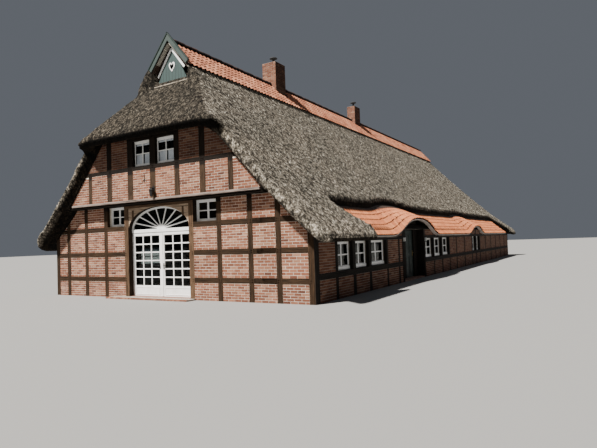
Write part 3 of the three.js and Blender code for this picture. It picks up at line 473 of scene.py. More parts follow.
def mortar_finish(name, shade=1.0, painted_shade_above=None, side=None):
    """Pale lime mortar behind the bricks."""
    f = Finish(name, 0.95, gloss=0.2)
    grain = f.noise(120, 4, 0.7)
    colour = f.ramp(grain, (0.3, (0.60, 0.525, 0.43)), (0.7, (0.88, 0.79, 0.68)))
    colour = f.times(colour, f.greys(f.noise(1.7), (0.35, 0.72), (0.65, 1.05)))
    # A shade factor below one, the height and the side darken the mortar: painted shade.
    colour = in_shade(f, f.times(colour, grey(shade)), painted_shade_above, 0.30, side)
    return f.finish(colour, f.relief(grain, 0.003, 0.7))


def oak_finish(name, dark, mid, pale, painted_shade_above=None, on_node=False, painted_reveal_shade=None):
    """Old oak with grain along each timber, darker above a given height and on a reveal's faces that turn
    back: painted shade.
    """
    f = Finish(name, 0.82, gloss=0.15)
    grain = f.place() if on_node else f.attribute("grain", "Vector")
    fibres = f.noise(3.2, 6, 0.7, 0.4, at=f.place((0.9, 13.0, 13.0), grain))
    cracks = f.greys(f.noise(1.6, 3, 0.5, at=f.place((0.5, 22.0, 22.0), grain)), (0.36, 0.3), (0.43, 1.0))
    colour = f.times(f.ramp(fibres, (0.3, dark), (0.52, mid), (0.72, pale)), cracks)
    if not on_node:
        colour = f.times(colour, f.greys(f.attribute("tone"), (0.0, 0.78), (1.0, 1.15)))
    colour = in_shade(f, colour, painted_shade_above, 0.2)
    # Painted shade on the faces that turn back from the front.
    if painted_reveal_shade is not None:
        colour = f.tint(f.step(f.facing()[1], -0.6, -0.4), colour, grey(painted_reveal_shade))
    return f.finish(colour, f.relief(cracks, 0.006, 0.6, f.relief(fibres, 0.004, 0.8)))


def paint_finish(name, colour, worn, roughness=0.45):
    """Brushed paint over wood, a little dirty in the hollows."""
    f = Finish(name, roughness)
    brush = f.noise(60, at=f.place((1.0, 1.0, 0.25)))
    dirt = f.noise(3.5, 5, 0.65)
    shade = f.times(f.ramp(dirt, (0.3, worn), (0.55, colour)), f.greys(brush, (0.3, 0.93), (0.7, 1.03)))
    return f.finish(
        shade, f.relief(brush, 0.0015, 0.5), f.maths("MULTIPLY", f.step(dirt, 1.4, -0.2), roughness * 1.6),
    )


def panel_finish():
    """Grey-green boards set on end, with a dark seam between them."""
    f = Finish("gablet_boards", 0.6)
    seam = f.greys(f.bands(2.2, "X"), (0.01, 0.35), (0.06, 1.0))
    streak = f.noise(3.0, at=f.place((9.0, 9.0, 0.8)))
    colour = f.ramp(streak, (0.3, (0.019, 0.041, 0.039)), (0.7, (0.036, 0.068, 0.064)))
    return f.finish(f.times(colour, seam), f.relief(seam, 0.004, 0.7))


def clay_finish(name, dark, mid, pale):
    """Fired clay tile, each with its own tone, with lichen, and with dirt and painted shade in the laps."""
    f = Finish(name, 0.75)
    body = f.ramp(f.attribute("tone"), (0.0, dark), (0.5, mid), (1.0, pale))
    colour = f.times(body, f.greys(f.noise(14, 5, 0.7), (0.32, 0.7), (0.62, 1.12)))
    lichen = f.greys(f.noise(5.0, 6, 0.75), (0.60, 0.0), (0.72, 0.5))
    colour = f.mix(lichen, colour, (0.28, 0.235, 0.18))
    # Faces that look down darker: painted shade; the covered head of each tile darker: dirt and painted
    # shade.
    lap = f.maths("MAXIMUM", f.step(f.facing()[2], 0.40, 0.15), f.step(f.attribute("end"), *TILE_LAP_MARK))
    return f.finish(f.tint(lap, colour, (0.10, 0.06, 0.05)), f.relief(f.noise(60, 4, 0.7), 0.003, 0.7))


def stone_finish():
    """Washed gravel slab."""
    f = Finish("washed_stone", 0.85)
    pebbles = f.add("ShaderNodeTexVoronoi", {"Vector": f.place(), "Scale": 45}).outputs["Distance"]
    colour = f.ramp(
        pebbles, (0.0, (0.52, 0.47, 0.41)), (0.45, (0.36, 0.32, 0.275)), (0.8, (0.17, 0.15, 0.13)),
    )
    stains = f.greys(f.noise(2.5), (0.35, 0.75), (0.65, 1.08))
    return f.finish(f.times(colour, stains), f.relief(pebbles, 0.006, -0.8))


def floor_finish():
    """Brick paviours of the hall floor."""
    f = Finish("hall_paving", 0.8)
    bond = f.add("ShaderNodeTexBrick", {
        "Vector": f.place(), "Scale": 1.0, "Brick Width": 0.22, "Row Height": 0.11, "Mortar Size": 0.006,
        "Color1": (0.26, 0.12, 0.085, 1), "Color2": (0.34, 0.19, 0.14, 1), "Mortar": (0.15, 0.13, 0.11, 1),
    })
    return f.finish(bond.outputs["Color"], f.relief(bond.outputs["Fac"], 0.004, -0.8))


def board_finish():
    """Bare sawn boards laid across the attic, with painted shade where their ends stand out under the gable.
    """
    f = Finish("attic_boards", 0.8, gloss=0.05)
    fibres = f.noise(2.0, 5, 0.65, at=f.place((3.0, 40.0, 3.0)))
    colour = f.ramp(fibres, (0.3, (0.14, 0.085, 0.048)), (0.7, (0.33, 0.22, 0.13)))
    colour = f.times(colour, f.greys(f.bands(1.2, "Y"), (0.02, 0.15), (0.08, 1.0)))
    painted_shade_front = f.step(f.parts(f.place())[1], 0.22, 0.18)
    return f.finish(f.tint(painted_shade_front, colour, grey(0.015)), f.relief(fibres, 0.003, 0.6))


def glass_finish(name, deep, pale):
    """Clear window glass, slightly uneven."""
    f = Finish(name, 0.03)
    f.shader.inputs["Transmission Weight"].default_value = 1.0
    f.shader.inputs["IOR"].default_value = 1.16
    waves = f.noise(3.0, 2, 0.5)
    return f.finish(f.ramp(waves, (0.3, deep), (0.7, pale)), f.relief(waves, 0.01, 0.15))


def metal_finish(name, colour, roughness, metallic):
    """Painted or plain metal with a few spots of dirt."""
    f = Finish(name, roughness, metallic)
    spots = f.noise(25, 5, 0.7)
    worn = tuple(0.6 * c + 0.02 for c in colour)
    return f.finish(f.ramp(spots, (0.35, worn), (0.6, colour)), f.relief(spots, 0.002, 0.5))


def lamp_glass_finish():
    """Frosted lamp glass."""
    f = Finish("frosted_glass", 0.35)
    return f.finish(f.ramp(f.noise(30, 3, 0.5), (0.3, (0.62, 0.63, 0.60)), (0.7, (0.80, 0.81, 0.78))))


def linen_finish():
    """Thin pale curtain cloth with a plain weave."""
    f = Finish("curtain_linen", 0.9)
    weave = f.maths("MAXIMUM", f.bands(220.0, "X"), f.bands(220.0, "Z"))
    folds = f.noise(2.0, 3, 0.5, at=f.place((9.0, 9.0, 0.7)))
    # Pale bluish cloth: partly its own colour, partly painted sky light on curtains that hang in shade.
    colour = f.ramp(folds, (0.3, (0.78, 0.81, 0.86)), (0.7, (0.92, 0.94, 0.96)))
    return f.finish(colour, f.relief(weave, 0.0006, 0.5))


THATCH = thatch_finish()
REED = reed_finish()
BRICK = brick_finish("red_brick")
# Gable brick and mortar darker above 4.33 m: painted shade of the half hip.
GABLE_BRICK = brick_finish("gable_brick", painted_shade_above=4.33)
# Side and rear walls darker all over: painted shade.
SIDE_BRICK = brick_finish("side_brick", 0.60)
# Chimney brick and mortar darker, with painted shade on the faces that look to the right.
CHIMNEY_BRICK = brick_finish("chimney_brick", 0.90, side=0.30)
MORTAR = mortar_finish("lime_mortar")
GABLE_MORTAR = mortar_finish("gable_mortar", painted_shade_above=4.33)
SIDE_MORTAR = mortar_finish("side_mortar", 0.42)
CHIMNEY_MORTAR = mortar_finish("chimney_mortar", 0.42, side=0.30)
# Front oak darker above 3.07 m: painted shade under the jetty.
WEATHERED_OAK = oak_finish(
    "weathered_oak", (0.012, 0.0062, 0.0027), (0.033, 0.0175, 0.0082), (0.068, 0.039, 0.020),
    painted_shade_above=3.07,
)
# Gable oak darker above 4.20 m: partly oak kept dark by the hip's shelter, partly painted shade of the hip.
GABLE_OAK = oak_finish(
    "gable_oak", (0.015, 0.0085, 0.0045), (0.043, 0.0245, 0.0130), (0.086, 0.053, 0.031),
    painted_shade_above=4.20,
)
BEAM_OAK = oak_finish("beam_oak", (0.11, 0.082, 0.068), (0.205, 0.160, 0.138), (0.31, 0.255, 0.225))
DARK_OAK = oak_finish("dark_oak", (0.006, 0.005, 0.004), (0.014, 0.011, 0.009), (0.034, 0.027, 0.022))
# Near-black oak paint on the walls of the door recess: painted shade of the recess.
RECESS_SHADE = oak_finish(
    "recess_oak", (0.006, 0.005, 0.004), (0.014, 0.011, 0.009), (0.030, 0.024, 0.020), on_node=True,
)
# Gate oak, with painted shade on the faces of its reveals that turn back.
GATE_OAK = oak_finish(
    "gate_oak", (0.032, 0.017, 0.009), (0.085, 0.050, 0.028), (0.155, 0.098, 0.060), painted_reveal_shade=0.25,
)
# Spandrel oak much paler than the gate oak: painted light against the jetty's shadow; its reveal faces get
# painted shade.
SPANDREL_OAK = oak_finish(
    "spandrel_oak", (0.150, 0.104, 0.068), (0.37, 0.268, 0.186), (0.54, 0.415, 0.305), painted_reveal_shade=0.05,
)
CUT_REED = oak_finish("cut_reed", (0.17, 0.14, 0.105), (0.36, 0.31, 0.245), (0.55, 0.485, 0.40))
WHITE = paint_finish("white_paint", (0.96, 0.96, 0.95), (0.82, 0.81, 0.78))
PALE_GREEN = paint_finish("pale_green_paint", (0.036, 0.056, 0.050), (0.022, 0.035, 0.031), 0.6)
DARK_GREEN = paint_finish("dark_green_paint", (0.005, 0.019, 0.015), (0.003, 0.010, 0.008), 0.6)
SOFFIT_GREY = paint_finish("soffit_grey_paint", (0.40, 0.375, 0.32), (0.26, 0.24, 0.20), 0.7)
# Dark boards under the tiles: partly their own colour, partly painted shade under the tiles.
DECK_WOOD = paint_finish("deck_wood", (0.050, 0.030, 0.020), (0.022, 0.014, 0.010), 0.8)
FASCIA = paint_finish("fascia_paint", (0.58, 0.50, 0.45), (0.34, 0.29, 0.26), 0.7)
PANEL_BOARDS = panel_finish()
SIDE_TILE = clay_finish("side_tile_clay", (0.45, 0.136, 0.052), (0.52, 0.170, 0.066), (0.58, 0.210, 0.088))
RIDGE_TILE = clay_finish("ridge_tile_clay", (0.26, 0.085, 0.042), (0.40, 0.145, 0.072), (0.52, 0.225, 0.125))
CAP_TILE = clay_finish("cap_tile_clay", (0.030, 0.015, 0.013), (0.055, 0.024, 0.019), (0.085, 0.038, 0.028))
STONE = stone_finish()
PAVING = floor_finish()
BOARDS = board_finish()
GLASS = glass_finish("window_glass", (0.42, 0.47, 0.47), (0.52, 0.57, 0.57))
# Gable glass clearer than the window glass, so the curtains in the hip's shade read bright: painted light.
GABLE_GLASS = glass_finish("gable_glass", (0.84, 0.87, 0.89), (0.92, 0.94, 0.96))
IRON = metal_finish("black_iron", (0.010, 0.010, 0.011), 0.55, 0.4)
ZINC = metal_finish("dull_zinc", (0.008, 0.009, 0.012), 0.85, 0.0)
BRASS = metal_finish("door_brass", (0.50, 0.36, 0.13), 0.35, 1.0)
LAMP_GLASS = lamp_glass_finish()
LINEN = linen_finish()


# Pieces

def linked(name, data):
    """A new object of the scene that holds a mesh, a lamp or a camera."""
    made = bpy.data.objects.new(name, data)
    bpy.context.scene.collection.objects.link(made)
    return made


def piece(name, mesh, material, body="house", replaces=()):
    """A finished mesh, riding on its body."""
    mesh.name = name
    built = linked(name, mesh)
    mesh.materials.clear()
    mesh.materials.append(material)
    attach(built, body)
    if replaces:
        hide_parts(*replaces)
    return built


def mesh_from(name, build):
    """A mesh made by a function that fills a bmesh."""
    work = bmesh.new()
    build(work)
    bmesh.ops.remove_doubles(work, verts=work.verts, dist=1e-5)
    bmesh.ops.recalc_face_normals(work, faces=work.faces)
    mesh = bpy.data.meshes.new(name)
    work.to_mesh(mesh)
    work.free()
    return mesh


def prism(work, outline, direction, depth, hole=None):
    """A closed plate: a flat outline in 3-D carried along a direction, with an optional hole."""
    rings = [outline] if hole is None else [outline, hole]
    shift = Vector(direction).normalized() * depth
    lofts = []
    for ring in rings:
        near = [work.verts.new(p) for p in ring]
        far = [work.verts.new(Vector(p) + shift) for p in ring]
        for i, vertex in enumerate(near):
            j = (i + 1) % len(near)
            work.faces.new((vertex, near[j], far[j], far[i]))
        lofts.append((near, far))
    if hole is None:
        work.faces.new(lofts[0][0])
        work.faces.new(lofts[0][1])
        return
    for side in (0, 1):
        outer = lofts[0][side]
        inner = lofts[1][side]
        for i, vertex in enumerate(outer):
            j = (i + 1) % len(outer)
            work.faces.new((vertex, outer[j], inner[j], inner[i]))


def solid_tree(*names):
    """Search tree of one or more closed solids of the frame."""
    points = []
    faces = []
    for name in names:
        mesh = NODES[name].data
        first = len(points)
        points += [v.co.copy() for v in mesh.vertices]
        faces += [tuple(first + i for i in p.vertices) for p in mesh.polygons]
    return BVHTree.FromPolygons(points, faces)


def spans(solid, start, direction, reach):
    """Distances along a ray between which it runs inside a closed solid."""
    marks = []
    gone = 0.0
    skip = 2e-5
    while gone < reach:
        hit = solid.ray_cast(start + direction * gone, direction, reach - gone)
        if hit[0] is None:
            break
        marks.append(gone + hit[3])
        gone += hit[3] + skip
    return list(zip(marks[0::2], marks[1::2]))


class Plane:
    """A flat face, with the direction that runs along it and the one out of it."""

    def __init__(self, run, out, face):
        self.run = run
        self.out = out
        self.face = face

    def point(self, along, height, out=0.0):
        return self.run * along + Z_AXIS * height + self.out * (self.face + out)


class Face(Plane):
    """One flat face of a wall or frame: rays along it find its posts, rails and panels."""

    def __init__(self, names, run, out, face, depth):
        super().__init__(run, out, face)
        self.solid = solid_tree(*names)
        boxes = [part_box(name) for name in names]
        self.low = Vector(min(b[0][i] for b in boxes) for i in range(3))
        self.high = Vector(max(b[1][i] for b in boxes) for i in range(3))
        self.inside = out * (face - depth)
        self.start = self.low.dot(run) - 0.1
        self.reach = abs(self.high.dot(run) - self.low.dot(run)) + 0.2

    def across(self, height):
        start = self.run * self.start + Z_AXIS * height + self.inside
        return [(self.start + a, self.start + b) for a, b in spans(self.solid, start, self.run, self.reach)]

    def up(self, along):
        foot = self.low.z - 0.1
        start = self.run * along + Z_AXIS * foot + self.inside
        reach = self.high.z - foot + 0.1
        return [(foot + a, foot + b) for a, b in spans(self.solid, start, Z_AXIS, reach)]

    def up_at(self, along, height):
        return next(((a, b) for a, b in self.up(along) if a <= height <= b), None)


# Blocks set out on points: bricks, timbers, bars, boards, tiles and pegs

class Blocks:
    """A list of like pieces, each with its middle, length direction, outward direction and size."""

    def __init__(self):
        self.rows = []

    def add(self, middle, along, out, size, across=None):
        along = Vector(along).normalized()
        out = Vector(out).normalized()
        across = out.cross(along) if across is None else across
        self.rows.append((Vector(middle), along, out, Vector(size), across))

    def span(self, start, end, out, width, depth):
        start = Vector(start)
        end = Vector(end)
        self.add((start + end) / 2, end - start, out, ((end - start).length, width, depth))

    def points(self):
        mesh = bpy.data.meshes.new("points")
        mesh.from_pydata([row[0] for row in self.rows], [], [])
        for index, name in enumerate(("middle", "along", "out", "size", "across")):
            attribute = mesh.attributes.new(name, "FLOAT_VECTOR", "POINT")
            attribute.data.foreach_set("vector", [x for row in self.rows for x in row[index]])
        return mesh


class Tree(Nodes):
    """A Geometry Nodes tree built in code, with named inputs."""

    def __init__(self, name, inputs):
        super().__init__(bpy.data.node_groups.new(name, "GeometryNodeTree"))
        face = self.tree.interface
        face.new_socket("Geometry", in_out="INPUT", socket_type="NodeSocketGeometry")
        face.new_socket("Geometry", in_out="OUTPUT", socket_type="NodeSocketGeometry")
        for label, kind in inputs.items():
            face.new_socket(label, in_out="INPUT", socket_type=f"NodeSocket{kind}")
        self.source = self.tree.nodes.new("NodeGroupInput").outputs
        self.sink = self.tree.nodes.new("NodeGroupOutput").inputs

    def vector(self, operation, first, second=None):
        node = self.add("ShaderNodeVectorMath", {0: first}, operation=operation)
        if second is not None:
            self.join(second, node.inputs["Scale" if operation == "SCALE" else 1])
        return node.outputs[0]

    def sum(self, *vectors):
        total = vectors[0]
        for vector in vectors[1:]:
            total = self.vector("ADD", total, vector)
        return total

    def named(self, name, kind="FLOAT_VECTOR"):
        return self.add("GeometryNodeInputNamedAttribute", {"Name": name}, data_type=kind).outputs[0]

    def store(self, geometry, name, value, kind="FLOAT_VECTOR"):
        sources = {"Geometry": geometry, "Name": name, "Value": value}
        node = self.add("GeometryNodeStoreNamedAttribute", sources, data_type=kind, domain="POINT")
        return node.outputs[0]

    def random_tone(self):
        index = self.add("GeometryNodeInputIndex").outputs[0]
        sources = {"ID": index, "Seed": self.source["Seed"]}
        return self.add("FunctionNodeRandomValue", sources, data_type="FLOAT").outputs[1]

    def random_vector(self, low, high, seed):
        index = self.add("GeometryNodeInputIndex").outputs[0]
        sources = {"Min": low, "Max": high, "ID": index, "Seed": seed}
        return self.add("FunctionNodeRandomValue", sources, data_type="FLOAT_VECTOR").outputs[0]

    def instances(self, points, label, **sources):
        """The object of one input set on every point."""
        shape = self.add("GeometryNodeObjectInfo", {"Object": self.source[label]}).outputs["Geometry"]
        sources.update({"Points": points, "Instance": shape})
        placed = self.add("GeometryNodeInstanceOnPoints", sources).outputs[0]
        return self.add("GeometryNodeRealizeInstances", {"Geometry": placed}).outputs[0]

    def end(self, geometry):
        """The finished tree, with its material on what it makes."""
        sources = {"Geometry": geometry, "Material": self.source["Material"]}
        self.join(self.add("GeometryNodeSetMaterial", sources).outputs[0], self.sink[0])
        return self.tree


def set_out_tree():
    """Sets a blank on every point, stretched to the point's size, with true chamfers and a hewn wobble."""
    t = Tree("set_out_blocks", {
        "Blank": "Object", "Chamfer": "Float", "Wobble": "Float", "Wobble Scale": "Float",
        "Seed": "Int", "Material": "Material",
    })
    points = t.store(t.source["Geometry"], "tone", t.random_tone(), "FLOAT")
    real = t.instances(points, "Blank")
    middle = t.named("middle")
    corner = t.vector("SUBTRACT", t.add("GeometryNodeInputPosition").outputs[0], middle)
    full = t.vector("SCALE", t.vector("MULTIPLY", corner, t.named("size")), 0.5)
    local = t.vector("SUBTRACT", full, t.vector("SCALE", t.named("inset"), t.source["Chamfer"]))
    ways = [t.named(name) for name in ("along", "across", "out")]
    place = t.sum(middle, *(t.vector("SCALE", way, part) for way, part in zip(ways, t.parts(local))))
    waves = t.add("ShaderNodeTexNoise", {"Vector": place, "Scale": t.source["Wobble Scale"], "Detail": 2.0})
    swing = t.vector("SUBTRACT", waves.outputs["Color"], (0.5, 0.5, 0.5))
    place = t.sum(place, t.vector("SCALE", swing, t.source["Wobble"]))
    spread = t.vector("SCALE", GRAIN_SHIFT, t.named("tone", "FLOAT"))
    grained = t.store(real, "grain", t.sum(local, spread))
    grained = t.store(grained, "end", t.parts(corner)[0], "FLOAT")
    return t.end(t.add("GeometryNodeSetPosition", {"Geometry": grained, "Position": place}).outputs[0])


def reed_tree():
    """Scatters reed ends over the outside of the thatch, lying down the slope with a little spread."""
    t = Tree("scatter_reeds", {
        "Reed": "Object", "Density": "Float", "Lift": "Float", "Spread": "Float", "Seed": "Int",
        "Material": "Material",
    })
    height = t.parts(t.add("GeometryNodeInputNormal").outputs[0])[2]
    outside = t.add(
        "FunctionNodeCompare", {0: height, 1: REED_STEEPEST}, data_type="FLOAT", operation="GREATER_THAN",
    )
    scattered = t.add("GeometryNodeDistributePointsOnFaces", {
        "Mesh": t.source["Geometry"], "Selection": outside.outputs[0],
        "Density": t.source["Density"], "Seed": t.source["Seed"],
    })
    facing = scattered.outputs["Normal"]
    # Reed ends on faces that look to the front, as on the hip, take a darker tone.
    hip_dimming = t.add("ShaderNodeMapRange", {
        "Value": t.parts(facing)[1], "From Min": -0.55, "From Max": -0.25, "To Min": 0.66, "To Max": 1.0,
    }).outputs[0]
    tone = t.maths("MULTIPLY", t.random_tone(), hip_dimming)
    points = t.store(scattered.outputs["Points"], "tone", tone, "FLOAT")
    downward = (0.0, 0.0, -1.0)
    fall = t.add("ShaderNodeVectorMath", {0: downward, 1: facing}, operation="DOT_PRODUCT").outputs["Value"]
    down = t.vector("NORMALIZE", t.vector("SUBTRACT", downward, t.vector("SCALE", facing, fall)))
    jitter = t.random_vector((-1.0, -1.0, -1.0), (1.0, 1.0, 1.0), t.source["Seed"])
    lifted = t.sum(down, t.vector("SCALE", facing, t.source["Lift"]))
    lying = t.vector("NORMALIZE", t.sum(lifted, t.vector("SCALE", jitter, t.source["Spread"])))
    turn = t.add("FunctionNodeAxesToRotation", {0: lying, 1: facing}, primary_axis="Z", secondary_axis="X")
    length = t.random_vector((0.7, 0.7, 0.6), (1.5, 1.5, 1.5), 5)
    return t.end(t.instances(points, "Reed", Rotation=turn.outputs[0], Scale=length))


SET_OUT = set_out_tree()
SCATTER_REEDS = reed_tree()


def plain_mesh(carrier):
    """The plain mesh that an object's modifiers make, in place of the object."""
    depsgraph = bpy.context.evaluated_depsgraph_get()
    mesh = bpy.data.meshes.new_from_object(carrier.evaluated_get(depsgraph), depsgraph=depsgraph)
    bpy.data.objects.remove(carrier)
    return mesh


def grow(name, tree, mesh, values):
    """Runs a tree on a mesh and gives back the plain mesh that it makes."""
    carrier = linked(name, mesh)
    modifier = carrier.modifiers.new(name, "NODES")
    modifier.node_group = tree
    for item in tree.interface.items_tree:
        if item.in_out == "INPUT" and item.name in values:
            modifier[item.identifier] = values[item.name]
    plain = plain_mesh(carrier)
    for label in ("middle", "along", "out", "size", "across", "inset"):
        if label in plain.attributes:
            plain.attributes.remove(plain.attributes[label])
    return plain


# Blanks, from -1 to 1 along each axis, kept out of the picture

def blank(name, stations, section):
    """A closed bar: a section of (across, out, inset across, inset out) carried through the stations."""
    points = []
    insets = []
    faces = []
    count = len(section)
    for along in stations:
        for y, z, inset_y, inset_z in section:
            points.append((along, y, z))
            insets += [0.0, inset_y, inset_z]
    for ring in range(len(stations) - 1):
        for i in range(count):
            a = ring * count + i
            b = ring * count + (i + 1) % count
            faces.append((a, b, b + count, a + count))
    last = (len(stations) - 1) * count
    faces.append(tuple(range(count - 1, -1, -1)))
    faces.append(tuple(range(last, last + count)))
    mesh = bpy.data.meshes.new(name)
    mesh.from_pydata(points, [], faces)
    mesh.attributes.new("inset", "FLOAT_VECTOR", "POINT").data.foreach_set("vector", insets)
    return bpy.data.objects.new(name, mesh)


def square_section():
    return [(y, z, 0.0, 0.0) for y, z in ((-1, -1), (1, -1), (1, 1), (-1, 1))]


def chamfered_section():
    section = []
    for y, z in ((-1, -1), (1, -1), (1, 1), (-1, 1)):
        pair = [(y, z, 0.0, float(z)), (y, z, float(y), 0.0)]
        section += pair if y == z else pair[::-1]
    return section


def pantile_section():
    """An S-shaped tile seen from its foot: hollow, then roll, the same thickness all along."""
    steps = 6
    thick = TILE_THICKNESS / TILE_WAVE
    top = []
    for i in range(steps + 1):
        t = i / steps
        top.append((2 * t - 1, -math.sin(math.pi * 2 * t) * (0.6 + 0.4 * t)))
    under = [(y, z - thick) for y, z in top]
    return [(y, z, 0.0, 0.0) for y, z in under + top[::-1]]


def half_round_section():
    steps = 8
    thin = 0.8
    outer = []
    for i in range(steps + 1):
        angle = math.pi * i / steps
        outer.append((math.cos(angle), math.sin(angle)))
    inner = [(y * thin, z * thin) for y, z in outer[::-1]]
    return [(y, z, 0.0, 0.0) for y, z in outer + inner]


BRICK_BLANK = blank("brick_blank", (-1, 1), square_section())
BAR_BLANK = blank("bar_blank", (-1, 1), chamfered_section())
TIMBER_BLANK = blank("timber_blank", [-1 + i / 3 for i in range(7)], chamfered_section())
PANTILE_BLANK = blank("pantile_blank", (-1, 1), pantile_section())
CAP_BLANK = blank("cap_blank", (-1, -0.72, 1), half_round_section())


def press_to_ground(mesh):
    """Lifts what a wobble pushed below the ground."""
    for vertex in mesh.vertices:
        vertex.co.z = max(0.0, vertex.co.z)


def lay(name, blocks, shape, material, body="house", replaces=(), chamfer=0.0, wobble=0.0, seed=1):
    """Turns a list of blocks into one finished piece."""
    values = {
        "Blank": shape, "Chamfer": chamfer, "Wobble": wobble, "Wobble Scale": WOBBLE_SCALE,
        "Seed": seed, "Material": material,
    }
    mesh = grow(name, SET_OUT, blocks.points(), values)
    press_to_ground(mesh)
    return piece(name, mesh, material, body, replaces)


# Brick walls

def brick_panels(face):
    """Feet of the brick panels of a wall face, as (along, along, foot)."""
    found = {}
    height = face.low.z + 0.05
    while height < face.high.z:
        for a, b in face.across(height):
            column = face.up_at((a + b) / 2, height)
            if column is None:
                continue
            foot = column[0]
            near = [s for s in face.across(foot + 0.012) if s[0] < (a + b) / 2 < s[1]]
            if near:
                found[(round(near[0][0], 2), round(near[0][1], 2), round(foot, 2))] = (*near[0], foot)
        height += PANEL_SEARCH
    return list(found.values())


def lay_course(blocks, face, a, b, low, high, shifted):
    """One course of bricks between two points, in a bond that runs through the whole wall."""
    pitch = BRICK_LENGTH + JOINT
    offset = pitch / 2 if shifted else 0.0
    index = math.floor((a - offset) / pitch)
    start = a + JOINT / 3
    end = b - JOINT / 3
    while index * pitch + offset < b:
        left = index * pitch + offset + JOINT / 2
        right = left + BRICK_LENGTH
        if left - JOINT - start <= SHORTEST_BRICK:
            left = start
        if end - right - JOINT <= SHORTEST_BRICK:
            right = end
        if right - left > SHORTEST_BRICK:
            proud = BRICK_PROUD + random.uniform(-0.0015, 0.0015)
            middle = face.point((left + right) / 2, (low + high) / 2, proud - BRICK_DEPTH / 2)
            blocks.add(middle, face.run, face.out, (right - left, high - low, BRICK_DEPTH))
        index += 1


def fitted_course(face, along, foot):
    """Course height that fills a panel from foot to head with whole bricks."""
    column = face.up_at(along, foot + 0.02)
    if column is None:
        return COURSE
    height = column[1] - column[0]
    return height / max(1, round(height / COURSE))


def brick_face(blocks, face):
    """Bricks on every panel of one wall face, laid up from each panel's foot."""
    for a, b, foot in brick_panels(face):
        level = foot
        row = 0
        course = fitted_course(face, (a + b) / 2, foot)
        while level < face.high.z:
            middle = level + course / 2
            overlap = [(s, e) for s, e in face.across(middle) if min(e, b) - max(s, a) > SHORTEST_BRICK]
            if not overlap:
                break
            for s, e in overlap:
                s = max(s, a)
                e = min(e, b)
                column = face.up_at((s + e) / 2, middle)
                if column is None or column[0] > level + course:
                    continue
                top = min(level + course - JOINT * 0.75, column[1] - JOINT / 2)
                if top - level > SHORTEST_BRICK / 2:
                    lay_course(blocks, face, s, e, level + JOINT / 4, top, row % 2 == 1)
            column = face.up_at((max(overlap[0][0], a) + min(overlap[0][1], b)) / 2, middle)
            if column is None or column[1] < level + course + 0.01:
                break
            level += course
            row += 1


def dress_walls():
    front = -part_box("front_wall_left")[0].y
    gable = -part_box("front_gable_wall")[0].y
    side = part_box("right_wall_front")[1].x
    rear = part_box("rear_wall")[1].y
    walls = (
        ("front_bricks_left", "front_wall_left", X_AXIS, -Y_AXIS, front, BRICK, MORTAR),
        ("front_bricks_right", "front_wall_right", X_AXIS, -Y_AXIS, front, BRICK, MORTAR),
        ("gable_bricks", "front_gable_wall", X_AXIS, -Y_AXIS, gable, GABLE_BRICK, GABLE_MORTAR),
        # The side and rear walls take the darker brick and mortar: painted shade.
        ("right_bricks_front", "right_wall_front", Y_AXIS, X_AXIS, side, SIDE_BRICK, SIDE_MORTAR),
        ("right_bricks_rear", "right_wall_rear", Y_AXIS, X_AXIS, side, SIDE_BRICK, SIDE_MORTAR),
        ("left_bricks", "left_wall", Y_AXIS, -X_AXIS, side, SIDE_BRICK, SIDE_MORTAR),
        ("rear_bricks", "rear_wall", X_AXIS, Y_AXIS, rear, SIDE_BRICK, SIDE_MORTAR),
    )
    for name, node, run, out, plane, brick, mortar in walls:
        blocks = Blocks()
        brick_face(blocks, Face([node], run, out, plane, 0.006))
        lay(name, blocks, BRICK_BLANK, brick, seed=len(name))
        paint_node(node, mortar)
    # The walls of the door recess: painted shade.
    for name in ("porch_wall_front", "porch_wall_rear"):
        paint_node(name, RECESS_SHADE)


# Timber frames

def bays_of(row, face):
    """Gaps between neighbouring posts, and the open stretch beyond each end post."""
    if not row:
        return []
    bays = [(b, c) for (_, b), (c, _) in zip(row, row[1:])]
    probe = 0.05
    for along in (row[0][0] - probe, row[-1][1] + probe):
        for low, high in face.up(along):
            run = next((s for s in face.across((low + high) / 2) if s[0] < along < s[1]), None)
            if run is not None:
                end = (run[0], row[0][0]) if along < row[0][0] else (row[-1][1], run[1])
                bays.append(end)
    return bays


def posts_through(blocks, face, levels):
    """Posts that run their full height, with the rails tenoned in between them."""
    posts = {}
    rails = {}
    for level in levels:
        row = face.across(level)
        for a, b in row:
            foot, head = face.up_at((a + b) / 2, level)
            posts.setdefault((round(a, 2), round(foot, 2)), (a, b, foot, head))
        for a, b in bays_of(row, face):
            for low, high in face.up((a + b) / 2):
                rails.setdefault((round(a, 2), round(low, 2)), (a, b, low, high))
    for post in posts.values():
        timber_post(blocks, face, *post)
    for rail in rails.values():
        timber_rail(blocks, face, *rail)
    return list(rails.values())


def rails_through(blocks, face, levels):
    """Long rails with posts stood between them."""
    rails = {}
    for level in levels:
        for a, b in bays_of(face.across(level), face):
            middle = (a + b) / 2
            for low, high in face.up(middle):
                run = next((s for s in face.across((low + high) / 2) if s[0] < middle < s[1]), None)
                if run is not None:
                    key = (round(low, 2), round(run[0], 1))
                    high = min(high, rails[key][3]) if key in rails else high
                    rails[key] = (*run, low, high)
    for rail in rails.values():
        timber_rail(blocks, face, *rail)
    for level in levels:
        for a, b in face.across(level):
            middle = (a + b) / 2
            foot, head = face.up_at(middle, level)
            crossing = [r for r in rails.values() if r[0] < middle < r[1]]
            foot = max([foot] + [r[3] for r in crossing if r[3] < level])
            head = min([head] + [r[2] for r in crossing if r[2] > level])
            timber_post(blocks, face, a, b, foot, head)
    return list(rails.values())


def timber_post(blocks, face, a, b, foot, head):
    middle = face.point((a + b) / 2, (foot + head) / 2, -TIMBER_DEPTH / 2)
    blocks.add(middle, Z_AXIS, face.out, (head - foot, b - a, TIMBER_DEPTH))


